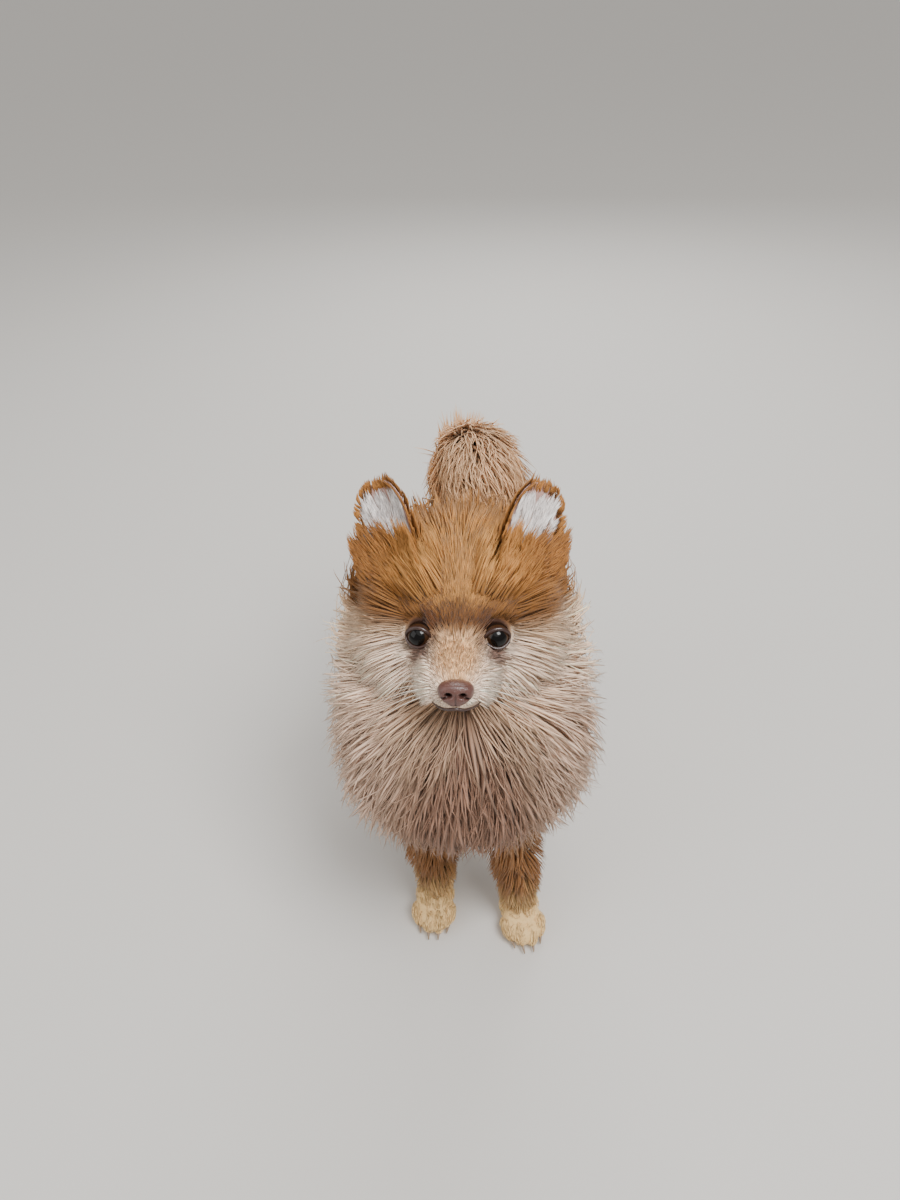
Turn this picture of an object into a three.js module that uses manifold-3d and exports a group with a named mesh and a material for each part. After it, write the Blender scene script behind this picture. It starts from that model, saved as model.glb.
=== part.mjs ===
// A young Pomeranian, life size, standing with its head raised and its tail carried over its back.
// Millimetres, +Z up. The dog faces -Y, so its left side is at +X, and its feet stand on Z = 0.
import * as THREE from "three";
import { mergeVertices } from "three/addons/utils/BufferGeometryUtils.js";
import Module from "manifold-3d";

const wasm = await Module();
wasm.setup();

// Driving dimensions
const EYE_HEIGHT = 235; // floor to the middle of the eyes
const EYE_GAP = 37; // between the centres of the eyes
const EYE_RADIUS = 7;
const HEAD_PITCH = 20; // degrees, muzzle raised
const HEAD_YAW = -3.5; // degrees, muzzle towards the dog's right
const HEAD_ROLL = 1.5; // degrees, crown towards the dog's left
const HEAD_SIDE = -1.5; // the head's offset from the body's middle plane
const GAP = 0.3; // between neighbouring solids
const CORE = 0.45; // share of the coat's depth that the core under the locks takes
const SUNK = 0.3; // share of the coat's depth where a lock's root starts, inside the core
const EDGE_GROWTH = 6; // times the gap that clears the thin edge of a lock
const FACE_GROWTH = 3; // times the gap that clears its faces
const WELD = 0.005; // grid that the corners of cut solids are set on

const COLOURS = {
  orange: { color: 0xa8713c, roughness: 0.9 },
  cream: { color: 0xcdbb98, roughness: 0.9 },
  tan: { color: 0xb08a5c, roughness: 0.9 },
  ear: { color: 0xb9b2a4, roughness: 0.9 },
  nose: { color: 0x5a3633, roughness: 0.35 },
  eye: { color: 0x0d0a09, roughness: 0.05 },
};

// Random numbers that are the same on each run
function randomFrom(seed) {
  let state = seed;
  return () => {
    state = (state + 0x6d2b79f5) | 0;
    let t = Math.imul(state ^ (state >>> 15), 1 | state);
    t = (t + Math.imul(t ^ (t >>> 7), 61 | t)) ^ t;
    return ((t ^ (t >>> 14)) >>> 0) / 4294967296;
  };
}

// How much of its full width a closed form has at u, with its ends rounded over two shares of its length
function endRound(u, [first, last]) {
  const inward = Math.min(1, u / first, (1 - u) / last);
  return Math.sqrt(Math.max(0, 1 - (1 - inward) ** 2));
}

// A smooth curve through the rows of a table, at u from 0 to 1
function tableRow(rows, u) {
  const place = Math.min(Math.max(u, 0), 1) * (rows.length - 1);
  const i = Math.min(Math.floor(place), rows.length - 2);
  const t = place - i;
  const [a, b, c, d] = [i - 1, i, i + 1, i + 2].map((k) => rows[Math.min(Math.max(k, 0), rows.length - 1)]);
  return b.map((_, k) => {
    const slopeB = (c[k] - a[k]) / 2;
    const slopeC = (d[k] - b[k]) / 2;
    const bend = 2 * b[k] - 2 * c[k] + slopeB + slopeC;
    return b[k] + t * (slopeB + t * (-3 * b[k] + 3 * c[k] - 2 * slopeB - slopeC + t * bend));
  });
}

// A form is the body under the coat, as sections along one axis. Each row is
// [place on the axis, middle, half width, reach to plus, reach to minus, side offset,
//  coat depth at the sides, coat depth to plus, coat depth to minus].
// Sections of a "y" form stand upright, so plus is up. Sections of a "z" form lie flat, so plus is back.
// The first and last places are those of the coat's tips.
class Form {
  constructor(axis, rows, caps) {
    this.axis = axis;
    this.rows = rows.map((row) => [...row, row[6], row[6]].slice(0, 9));
    this.caps = caps;
    this.centre = (rows[0][0] + rows[rows.length - 1][0]) / 2;
    this.halfLength = Math.abs(rows[rows.length - 1][0] - rows[0][0]) / 2;
  }

  // The point at u along the form and v round it, out by a share of the coat and a distance
  at(u, v, share = 0, grow = 0) {
    const [s, middle, wide, plus, minus, side, coat, coatPlus, coatMinus] = tableRow(this.rows, u);
    const round = endRound(u, this.caps);
    const angle = 2 * Math.PI * v;
    const reach = Math.cos(angle) > 0 ? plus + share * coatPlus : minus + share * coatMinus;
    const along = this.centre + (s - this.centre) * (1 + (grow - (1 - share) * coat) / this.halfLength);
    const x = side + (wide + share * coat + grow) * round * Math.sin(angle);
    const across = middle + (reach + grow) * round * Math.cos(angle);
    return this.axis === "y" ? new THREE.Vector3(x, along, across) : new THREE.Vector3(x, across, along);
  }
}

// The tail as a flattened tube along a curve. Each row is [half width, half thickness, coat depth].
class TailForm {
  constructor(points, rows, caps) {
    this.curve = new THREE.CatmullRomCurve3(points.map((p) => new THREE.Vector3(...p)));
    this.rows = rows;
    this.caps = caps;
  }

  at(u, v, share = 0, grow = 0) {
    const [wide, thick, coat] = tableRow(this.rows, u);
    const out = share * coat + grow;
    const round = endRound(u, this.caps);
    const tangent = this.curve.getTangent(Math.min(Math.max(u, 0), 1));
    const over = new THREE.Vector3().crossVectors(new THREE.Vector3(1, 0, 0), tangent).normalize();
    const side = new THREE.Vector3().crossVectors(tangent, over);
    const angle = 2 * Math.PI * v;
    return this.curve
      .getPoint(Math.min(Math.max(u, 0), 1))
      .addScaledVector(side, (wide + out) * round * Math.sin(angle))
      .addScaledVector(over, (thick + out) * round * Math.cos(angle));
  }
}

// A closed surface from a function of u (0 to 1, pole to pole) and v (0 to 1, round)
function surface(point, along, round) {
  const positions = [...point(0, 0).toArray()];
  const index = [];
  for (let i = 1; i < along; i++) {
    for (let j = 0; j < round; j++) positions.push(...point(i / along, j / round).toArray());
  }
  positions.push(...point(1, 0).toArray());
  const last = positions.length / 3 - 1;
  const at = (i, j) => (i === 0 ? 0 : i === along ? last : 1 + (i - 1) * round + (j % round));
  for (let i = 0; i < along; i++) {
    for (let j = 0; j < round; j++) {
      if (i > 0) index.push(at(i, j), at(i, j + 1), at(i + 1, j));
      if (i < along - 1) index.push(at(i, j + 1), at(i + 1, j + 1), at(i + 1, j));
    }
  }
  return new THREE.BufferGeometry()
    .setAttribute("position", new THREE.Float32BufferAttribute(positions, 3))
    .setIndex(index);
}

function solid(geometry) {
  const bare = geometry.clone();
  bare.deleteAttribute("normal");
  bare.deleteAttribute("uv");
  const merged = mergeVertices(bare, 1e-4);
  const make = (triVerts) =>
    new wasm.Manifold(new wasm.Mesh({ numProp: 3, vertProperties: merged.attributes.position.array, triVerts }));
  const made = make(new Uint32Array(merged.index.array));
  if (made.volume() > 0) return made;
  const turned = new Uint32Array(merged.index.array);
  for (let i = 0; i < turned.length; i += 3) [turned[i + 1], turned[i + 2]] = [turned[i + 2], turned[i + 1]];
  return make(turned);
}

// A solid with its corners set on a fine grid, so that slivers left by a cut close up
function welded(made) {
  const { numProp, vertProperties, triVerts } = made.getMesh();
  const corners = [];
  const numbers = new Map();
  const corner = (k) => {
    const place = [0, 1, 2].map((axis) => Math.round(vertProperties[k * numProp + axis] / WELD));
    const key = place.join();
    if (!numbers.has(key)) {
      numbers.set(key, corners.length / 3);
      corners.push(...place.map((steps) => steps * WELD));
    }
    return numbers.get(key);
  };
  const faces = new Map();
  for (let i = 0; i < triVerts.length; i += 3) {
    const face = [0, 1, 2].map((k) => corner(triVerts[i + k]));
    if (new Set(face).size < 3) continue;
    const key = [...face].sort((a, b) => a - b).join();
    if (faces.has(key)) faces.delete(key);
    else faces.set(key, face);
  }
  const mesh = { numProp: 3, vertProperties: new Float32Array(corners) };
  return new wasm.Manifold(new wasm.Mesh({ ...mesh, triVerts: new Uint32Array([...faces.values()].flat()) }));
}

// The largest closed surface of a solid, without loose scraps and sealed hollows
function largest(made) {
  return welded(made)
    .decompose()
    .reduce((a, b) => (b.volume() > a.volume() ? b : a));
}

const union = (solids) => solids.reduce((a, b) => a.add(b));
const formSolid = (form, share, grow, along, round) =>
  solid(surface((u, v) => form.at(u, v, share, grow), along, round));

function ellipsoid(centre, radii, along = 8, round = 10, turn = 0) {
  const geometry = new THREE.SphereGeometry(1, round, along);
  geometry.scale(radii[0], radii[1], radii[2]);
  geometry.rotateZ(THREE.MathUtils.degToRad(turn));
  geometry.translate(...centre);
  return solid(geometry);
}

// Locks of the coat. A lock walks over its form from its root along the lie of the coat, and lifts
// from inside the core to the tips of the coat. Its section is a flat triangle with its ridge outside.
const LOCK_STEPS = 4;
const LOCK_WIDTHS = [0, 0.9, 1, 0.66, 0];
const LOCK_SECTION = [
  [0, 0.65],
  [1, -0.35],
  [-1, -0.35],
];

function lockPath(form, lock, lie) {
  const step = lock.length / LOCK_STEPS;
  const tiny = 0.004;
  const path = [];
  let [u, v] = [lock.u, lock.v];
  for (let i = 0; i <= LOCK_STEPS; i++) {
    const share = SUNK + (lock.reach - SUNK) * (i / LOCK_STEPS) ** 0.85;
    const inside = i === 0 || (u > 0.03 && u < 0.97);
    const centre = inside
      ? form.at(u, v, share)
      : path[i - 1].centre.clone().addScaledVector(path[i - 1].heading, step);
    const [a, b] = [Math.min(Math.max(u, 0.03), 0.97), v];
    const alongU = form.at(a + tiny, b, share).sub(form.at(a - tiny, b, share)).divideScalar(2 * tiny);
    const alongV = form.at(a, b + tiny, share).sub(form.at(a, b - tiny, share)).divideScalar(2 * tiny);
    const normal = new THREE.Vector3().crossVectors(alongU, alongV).normalize();
    const flow = lie(centre, a).normalize();
    flow.addScaledVector(new THREE.Vector3().crossVectors(normal, flow), lock.bend * (i / LOCK_STEPS));
    flow.projectOnPlane(normal).normalize().multiplyScalar(step);
    const [uu, uv, vv] = [alongU.dot(alongU), alongU.dot(alongV), alongV.dot(alongV)];
    const [fu, fv] = [alongU.dot(flow), alongV.dot(flow)];
    const spread = uu * vv - uv * uv;
    u += (fu * vv - fv * uv) / spread;
    v += (fv * uu - fu * uv) / spread;
    const heading = i === 0 ? flow.clone().normalize() : centre.clone().sub(path[i - 1].centre).normalize();
    path.push({ centre, normal, heading });
  }
  return path;
}

function lockSolid(form, lock, lie, grow) {
  const path = lockPath(form, lock, lie);
  const point = (s, t) => {
    const i = Math.round(s * LOCK_STEPS);
    const { centre, normal, heading } = path[i];
    const side = new THREE.Vector3().crossVectors(normal, heading).normalize();
    const out = new THREE.Vector3().crossVectors(heading, side);
    const end = i === 0 ? -grow : i === LOCK_STEPS ? EDGE_GROWTH * grow : 0;
    const wide = end ? 0 : (lock.width / 2) * LOCK_WIDTHS[i] + (LOCK_WIDTHS[i] ? EDGE_GROWTH * grow : 0);
    const thick = end ? 0 : lock.thick * Math.sqrt(LOCK_WIDTHS[i]) + (LOCK_WIDTHS[i] ? FACE_GROWTH * grow : 0);
    const [across, through] = LOCK_SECTION[Math.round(t * LOCK_SECTION.length)];
    return centre
      .clone()
      .addScaledVector(heading, end)
      .addScaledVector(side, wide * across)
      .addScaledVector(out, thick * through);
  };
  return solid(surface(point, LOCK_STEPS, LOCK_SECTION.length));
}

// Tiers of locks. Each tier is [place along the form, how many, from v, to v, length, width].
function tierLocks(tiers, seed, options = {}) {
  const random = randomFrom(seed);
  const vary = (size, share) => size * (1 + share * (2 * random() - 1));
  const locks = [];
  tiers.forEach(([u, count, from, to, length, width], tier) => {
    const whole = Math.abs(to - from) > 0.999;
    const gap = (to - from) / (whole ? count : count - 1);
    for (let k = 0; k < count; k++) {
      const shifted = from + gap * (k + (whole ? 0.5 * (tier % 2) : 0) + 0.24 * (random() - 0.5));
      locks.push({
        u: Math.min(Math.max(u + 0.03 * (random() - 0.5), 0.06), 0.94),
        v: shifted,
        length: vary(length, 0.14),
        width: vary(width, 0.12),
        thick: options.thick ?? 4.5,
        bend: 0.5 * (random() - 0.5),
        reach: vary(options.reach ?? 0.97, 0.05),
      });
    }
  });
  return locks;
}

// The coat of one node: its core with all its locks
function coat(form, locks, lie, grow, along, round) {
  const tufts = locks.map((lock) => lockSolid(form, lock, lie, grow));
  return union([formSolid(form, CORE, grow, along, round), ...tufts]);
}

// Forms of the body under the coat
const torsoForm = new Form(
  "y",
  [
    [4, 140, 30, 36, 40, 0, 18],
    [34, 141, 38, 46, 44, 0, 20],
    [72, 142, 39, 45, 42, 0, 21],
    [110, 145, 38, 42, 36, 0, 21, 20, 16],
    [148, 149, 37, 38, 36, 0, 20],
    [192, 150, 27, 28, 32, 0, 18],
  ],
  [0.26, 0.34],
);

const neckForm = new Form(
  "z",
  [
    [97, 2, 18, 26, 20, 0, 22, 20, 18],
    [114, 1, 29, 34, 25, 0, 32, 24, 26],
    [132, 1, 36, 38, 27, 0, 37, 24, 32],
    [152, 4, 38, 40, 28, 0, 39, 24, 34],
    [174, 9, 39, 40, 27, 0, 38, 24, 34],
    [192, 16, 39, 38, 24, 0, 38, 24, 28],
    [208, 26, 40, 32, 18, 0, 37, 24, 17],
    [226, 38, 41, 26, 11, 0, 32, 24, 10],
    [246, 48, 40, 20, 8, 0, 26, 22, 8],
    [268, 55, 34, 15, 6, 0, 20, 18, 6],
  ],
  [0.26, 0.13],
);

const headForm = new Form(
  "y",
  [
    [66, -2, 24, 24, 22, 0, 10],
    [52, -2, 32, 35, 27, 0, 10],
    [36, -3, 36, 40, 28, 0, 9],
    [20, -5, 36, 39, 26, 0, 7],
    [9, -8, 31, 33, 23, 0, 5],
    [0, -11, 22, 22, 18, 0, 3],
    [-8, -13, 17, 14, 15, 0, 2.5],
    [-17, -14, 16, 10.5, 13.5, 0, 2.5],
    [-26, -15, 15, 8.5, 12, 0, 2],
    [-36, -16, 12.5, 7, 10, 0, 2],
  ],
  [0.16, 0.14],
);

const PAWS = {
  forepaw_left: [31, -6],
  forepaw_right: [-23, 6],
  hindpaw_left: [30, 146],
  hindpaw_right: [-27, 152],
};

const forelegForm = (side, paw, top, back) =>
  new Form(
    "z",
    [
      [10, paw[1] + 2, 9, 9, 9, paw[0], 3],
      [32, paw[1] + 4, 8.5, 9, 8.5, paw[0] - side, 4, 6, 4],
      [60, paw[1] + 6, 9, 10, 9, (paw[0] + top) / 2, 5, 10, 5],
      [88, back - 2, 11, 13, 11, top, 6, 12, 6],
      [122, back, 12, 16, 13, top, 7, 12, 7],
    ],
    [0.16, 0.16],
  );

const forelegs = {
  foreleg_left: forelegForm(1, PAWS.forepaw_left, 24, 12),
  foreleg_right: forelegForm(-1, PAWS.forepaw_right, -23, 14),
};

const thighForm = (side, paw) =>
  new Form(
    "z",
    [
      [52, paw[1] + 14, 9, 12, 10, paw[0], 7, 14, 6],
      [82, paw[1] + 6, 13, 18, 16, paw[0] - side, 13, 20, 10],
      [112, paw[1] + 2, 18, 24, 24, side * 25, 18, 20, 12],
      [144, paw[1] - 2, 20, 26, 26, side * 23, 16],
      [178, paw[1] - 2, 15, 22, 22, side * 20, 14],
    ],
    [0.22, 0.22],
  );

const hockForm = (paw) =>
  new Form(
    "z",
    [
      [10, paw[1] + 6, 8.5, 8, 8, paw[0], 3],
      [31, paw[1] + 14, 7.5, 7.5, 7, paw[0], 3],
      [50, paw[1] + 17, 8, 9, 8, paw[0], 4],
      [78, paw[1] + 12, 10, 12, 11, paw[0], 6],
    ],
    [0.2, 0.2],
  );

const tailBaseForm = new TailForm(
  [
    [0, 164, 172],
    [2, 180, 190],
    [5, 186, 208],
    [8, 184, 226],
  ],
  [
    [8, 8, 12],
    [7, 7, 19],
    [6, 6, 24],
  ],
  [0.25, 0.25],
);

const plumeForm = new TailForm(
  [
    [8, 187, 218],
    [12, 176, 236],
    [15, 152, 246],
    [17, 128, 245],
    [18, 108, 238],
    [18, 92, 230],
  ],
  [
    [6, 6, 18],
    [6, 6, 27],
    [5, 5, 30],
    [4, 4, 28],
    [3, 3, 16],
  ],
  [0.28, 0.28],
);

// The lie of the coat, as the direction from root to tip at a point
const FACE = new THREE.Vector3(0, -12, 228);
const direction = (x, y, z) => new THREE.Vector3(x, y, z);
const ruffLie = (p) => {
  const low = Math.min(1, Math.max(0, (250 - p.z) / 60));
  return p.clone().sub(FACE).normalize().add(direction(0, 0.25, 0.1 - 0.85 * low));
};
const backLie = (p) => direction(0.004 * p.x, 1, -0.35 - 0.004 * Math.abs(p.x));
const breechLie = () => direction(0, 0.55, -1);
const featherLie = () => direction(0, 0.5, -1);
const crownLie = (p) => direction(0.012 * p.x, 1, 0.1);
const cheekLie = (p) => direction(Math.sign(p.x) * 0.9, 0.75, -0.45);
const tailLie = (form) => (p, u) => form.curve.getTangent(u).add(direction(0.012 * (p.x - 15), 0, -0.25));

const ruffLocks = tierLocks(
  [
    [0.12, 6, 0.3, 0.7, 26, 28],
    [0.27, 8, 0.18, 0.82, 42, 33],
    [0.42, 9, 0.16, 0.84, 50, 37],
    [0.56, 9, 0.14, 0.86, 50, 38],
    [0.7, 9, 0.08, 0.92, 44, 38],
    [0.82, 9, -0.38, 0.38, 36, 35],
    [0.92, 7, -0.36, 0.36, 26, 28],
  ],
  11,
);
const backLocks = tierLocks(
  [
    [0.25, 6, -0.26, 0.26, 48, 34],
    [0.44, 7, -0.37, 0.37, 50, 37],
    [0.62, 8, 0, 1, 48, 37],
    [0.8, 8, 0, 1, 42, 32],
  ],
  23,
);
const tailBaseLocks = tierLocks([[0.4, 5, 0, 1, 34, 22]], 31);
const plumeLocks = tierLocks(
  [
    [0.09, 5, 0, 1, 46, 22],
    [0.29, 6, 0, 1, 58, 22],
    [0.5, 6, 0, 1, 52, 22],
    [0.72, 5, 0, 1, 36, 20],
  ],
  37,
);
const cheekLocks = (side) =>
  tierLocks(
    [
      [0.32, 2, side * 0.3, side * 0.4, 34, 22],
      [0.46, 3, side * 0.29, side * 0.44, 30, 16],
    ],
    side > 0 ? 41 : 43,
    { reach: 2, thick: 3.5 },
  );
const crownLocks = tierLocks([[0.2, 4, -0.12, 0.12, 26, 18]], 47, { thick: 3.5, reach: 1.3 });
const breechLocks = (side) =>
  tierLocks(
    [
      [0.34, 3, side * -0.1, side * 0.26, 36, 27],
      [0.6, 4, side * -0.12, side * 0.34, 42, 29],
    ],
    side > 0 ? 53 : 59,
  );
const featherLocks = (side) =>
  tierLocks([[0.62, 2, -0.07, 0.07, 34, 13]], side > 0 ? 61 : 67, { thick: 3, reach: 1.9 });

// A paw is a palm, four toes that spread forward, and a short claw on each toe.
const TOES = [
  [-9.5, -11, 14],
  [-3.4, -15.5, 5],
  [3.4, -15.5, -5],
  [9.5, -11, -14],
];
function pawSolid([x, y], turn) {
  const pieces = [ellipsoid([0, 2, 11], [13.5, 16, 13], 6, 9)];
  for (const [toeX, toeY, spread] of TOES) {
    pieces.push(ellipsoid([toeX, toeY, 7.5], [4.6, 9, 8], 5, 6, spread));
    const claw = new THREE.ConeGeometry(1.5, 9, 4);
    claw.rotateX(THREE.MathUtils.degToRad(110));
    claw.rotateZ(THREE.MathUtils.degToRad(spread));
    claw.translate(toeX * 1.12, toeY - 9.5, 5);
    pieces.push(solid(claw));
  }
  return largest(union(pieces).rotate([0, 0, turn]).translate([x, y, 0]).trimByPlane([0, 0, 1], 0));
}

const headPose = new THREE.Matrix4()
  .makeTranslation(HEAD_SIDE, 0, EYE_HEIGHT)
  .multiply(
    new THREE.Matrix4().makeRotationFromEuler(
      new THREE.Euler(
        THREE.MathUtils.degToRad(-HEAD_PITCH),
        THREE.MathUtils.degToRad(HEAD_ROLL),
        THREE.MathUtils.degToRad(HEAD_YAW),
        "ZYX",
      ),
    ),
  );

// Eyes, with a cornea that stands a little proud of the ball, and a ring of lids round each
const eyeCentre = (side) => [(side * EYE_GAP) / 2, 1, 0];
const CORNEA = { side: 0.7, forward: 1.6, radii: [5.2, 5.6, 5.2] };
const LID = { halfWidth: 7, halfHeight: 6, thick: 1.2, forward: 3, side: 1.2, turn: 17 };
function eyeSolid(side, grow) {
  const [x, y, z] = eyeCentre(side);
  const radius = EYE_RADIUS + grow;
  const cornea = CORNEA.radii.map((r) => r + grow);
  return union([
    ellipsoid([x, y, z], [radius, radius, radius], 8, 12),
    ellipsoid([x + side * CORNEA.side, y - CORNEA.forward, z], cornea, 8, 12),
  ]);
}
function lidSolid(side) {
  const [x, y, z] = eyeCentre(side);
  const geometry = new THREE.TorusGeometry(1, LID.thick / LID.halfHeight, 5, 14);
  geometry.scale(LID.halfWidth, LID.halfHeight, LID.halfHeight);
  geometry.rotateX(Math.PI / 2);
  geometry.rotateZ(THREE.MathUtils.degToRad(side * LID.turn));
  geometry.translate(x + side * LID.side, y - LID.forward, z);
  return solid(geometry);
}

// An ear is a cupped leaf with a round tip, the same number of steps on both faces.
const EAR = { base: [29, 14, 17], height: 58, halfWidth: 16, cup: 9, thick: 3.2, lean: 14, turn: 24, tip: 2.6 };
function earSolid(side, grow) {
  const across = 6;
  const up = 7;
  const point = (s, t, face) => {
    const width = (EAR.halfWidth + grow) * Math.sqrt(Math.max(0, 1 - Math.max(0, (t - 0.35) / 0.65) ** EAR.tip));
    const cup = EAR.cup * (1 - 0.45 * t) * (1 - s * s);
    const thick = (EAR.thick * (1 - 0.4 * t) * (1 - 0.6 * s * s) * 0.5 + grow) * (t < 1 ? 1 : 0.4);
    return new THREE.Vector3(s * width, cup + face * thick, t * (EAR.height + grow));
  };
  const grid = [];
  for (const face of [-1, 1]) {
    for (let i = 0; i <= up; i++) {
      for (let j = 0; j <= across; j++) grid.push(point(-1 + (2 * j) / across, i / up, face));
    }
  }
  const at = (face, i, j) => face * (up + 1) * (across + 1) + i * (across + 1) + j;
  const index = [];
  const quad = (a, b, c, d) => index.push(a, b, c, a, c, d);
  for (let i = 0; i < up; i++) {
    for (let j = 0; j < across; j++) {
      quad(at(0, i, j), at(0, i, j + 1), at(0, i + 1, j + 1), at(0, i + 1, j));
      index.push(at(1, i, j), at(1, i + 1, j + 1), at(1, i, j + 1));
      index.push(at(1, i, j), at(1, i + 1, j), at(1, i + 1, j + 1));
    }
    quad(at(0, i, 0), at(0, i + 1, 0), at(1, i + 1, 0), at(1, i, 0));
    quad(at(0, i + 1, across), at(0, i, across), at(1, i, across), at(1, i + 1, across));
  }
  for (let j = 0; j < across; j++) {
    quad(at(0, 0, j + 1), at(0, 0, j), at(1, 0, j), at(1, 0, j + 1));
    quad(at(0, up, j), at(0, up, j + 1), at(1, up, j + 1), at(1, up, j));
  }
  const geometry = new THREE.BufferGeometry().setFromPoints(grid).setIndex(index);
  geometry.rotateX(THREE.MathUtils.degToRad(-6));
  geometry.rotateZ(THREE.MathUtils.degToRad(side * EAR.turn));
  geometry.rotateY(THREE.MathUtils.degToRad(side * EAR.lean));
  geometry.translate(side * EAR.base[0], EAR.base[1], EAR.base[2]);
  return solid(geometry);
}

// The nose leather, with a nostril cut into each side of its front
const NOSE = { centre: [0, -35.5, -14.5], radii: [8, 6.5, 6.3] };
const NOSTRIL = { side: 3.9, forward: 6.2, down: 0.4, radii: [1.9, 2.6, 1.7], turn: 38 };
const noseSolid = (grow) => ellipsoid(NOSE.centre, NOSE.radii.map((r) => r + grow), 8, 12);
function nostrilSolid(side) {
  const [x, y, z] = NOSE.centre;
  const centre = [x + side * NOSTRIL.side, y - NOSTRIL.forward, z - NOSTRIL.down];
  return ellipsoid(centre, NOSTRIL.radii, 6, 8, side * NOSTRIL.turn);
}

// The jaw is the part of the head below the line of the mouth, which runs from its corner to the chin.
// The lips hang over its sides, so from the front the line is an arch.
const MOUTH = { corner: [-4, -22.5], middle: [-18, -21.5], front: [-33, -22], halfWidth: 30, below: 30 };
const ARCH = { halfWidth: 10.5, halfHeight: 12, top: -21 };
function jawRegion(grow) {
  const line = new THREE.SplineCurve([
    new THREE.Vector2(MOUTH.corner[0] + grow, MOUTH.corner[1] - 4),
    new THREE.Vector2(MOUTH.corner[0] - 2 + grow, MOUTH.corner[1] + grow),
    new THREE.Vector2(MOUTH.middle[0], MOUTH.middle[1] + grow),
    new THREE.Vector2(MOUTH.front[0], MOUTH.front[1] + grow),
    new THREE.Vector2(MOUTH.front[0] - 15, MOUTH.front[1] + grow - 1),
  ]).getPoints(10);
  const shape = new THREE.Shape(line);
  shape.lineTo(MOUTH.front[0] - 15, MOUTH.front[1] - MOUTH.below);
  shape.lineTo(MOUTH.corner[0] + grow, MOUTH.corner[1] - MOUTH.below);
  const geometry = new THREE.ExtrudeGeometry(shape, { depth: 2 * MOUTH.halfWidth, bevelEnabled: false });
  geometry.translate(0, 0, -MOUTH.halfWidth);
  const [x, y, z] = [direction(1, 0, 0), direction(0, 1, 0), direction(0, 0, 1)];
  geometry.applyMatrix4(new THREE.Matrix4().makeBasis(y, z, x));
  const arch = new THREE.CylinderGeometry(1, 1, 100, 16);
  arch.scale(ARCH.halfWidth + grow, 1, ARCH.halfHeight + grow);
  arch.translate(0, 0, ARCH.top - ARCH.halfHeight);
  return solid(geometry).intersect(solid(arch));
}

// Assembly: each solid is cut clear of the ones made before it.
const model = new THREE.Group();
model.name = "pomeranian";
const headGroup = new THREE.Group();
headPose.decompose(headGroup.position, headGroup.quaternion, headGroup.scale);
model.add(headGroup);

function addNode(name, made, look, parent = model) {
  const mesh = made.getMesh();
  const positions = new Float32Array(mesh.numVert * 3);
  for (let i = 0; i < mesh.numVert; i++) {
    positions.set(mesh.vertProperties.subarray(i * mesh.numProp, i * mesh.numProp + 3), i * 3);
  }
  const geometry = new THREE.BufferGeometry()
    .setAttribute("position", new THREE.BufferAttribute(positions, 3))
    .setIndex(new THREE.BufferAttribute(mesh.triVerts, 1));
  geometry.computeVertexNormals();
  const node = new THREE.Mesh(geometry, new THREE.MeshStandardMaterial({ ...COLOURS[look], metalness: 0 }));
  node.name = name;
  parent.add(node);
}

const SIDES = { left: 1, right: -1 };
const sideValues = Object.values(SIDES);
const toBody = headPose.toArray();

// Head, with its cheek and crown locks
const skull = (grow) => formSolid(headForm, 1, grow, 19, 18);
const headLocks = (grow) => [
  ...sideValues.flatMap((side) => cheekLocks(side)).map((lock) => lockSolid(headForm, lock, cheekLie, grow)),
  ...crownLocks.map((lock) => lockSolid(headForm, lock, crownLie, grow)),
];
const eyesGrown = union(sideValues.map((side) => eyeSolid(side, GAP)));
const noseGrown = noseSolid(GAP);
const face = union([skull(0), ...headLocks(0), ...sideValues.map(lidSolid)]);
addNode("head", largest(face.subtract(union([eyesGrown, noseGrown, jawRegion(GAP)]))), "orange", headGroup);
addNode("jaw", largest(skull(0).intersect(jawRegion(0)).subtract(noseGrown)), "cream", headGroup);
addNode("nose", largest(noseSolid(0).subtract(union(sideValues.map(nostrilSolid)))), "nose", headGroup);
const headGrown = union([skull(GAP), ...headLocks(GAP)]);
for (const [word, side] of Object.entries(SIDES)) {
  addNode(`eye_${word}`, eyeSolid(side, 0), "eye", headGroup);
  addNode(`ear_${word}`, largest(earSolid(side, 0).subtract(headGrown)), "ear", headGroup);
}
const earsGrown = union(sideValues.map((side) => earSolid(side, GAP)));

// Neck and ruff, torso and tail
let before = union([headGrown, noseGrown, earsGrown]).transform(toBody);
function addCoat(name, look, form, locks, lie, along, round) {
  const made = largest(coat(form, locks, lie, 0, along, round).subtract(before));
  addNode(name, made, look);
  before = union([before, made, coat(form, locks, lie, GAP, along, round)]);
}
addCoat("neck", "cream", neckForm, ruffLocks, ruffLie, 10, 14);
addCoat("torso", "orange", torsoForm, backLocks, backLie, 9, 12);
addCoat("tail_base", "orange", tailBaseForm, tailBaseLocks, tailLie(tailBaseForm), 6, 8);
addCoat("tail_plume", "cream", plumeForm, plumeLocks, tailLie(plumeForm), 9, 8);

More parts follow.
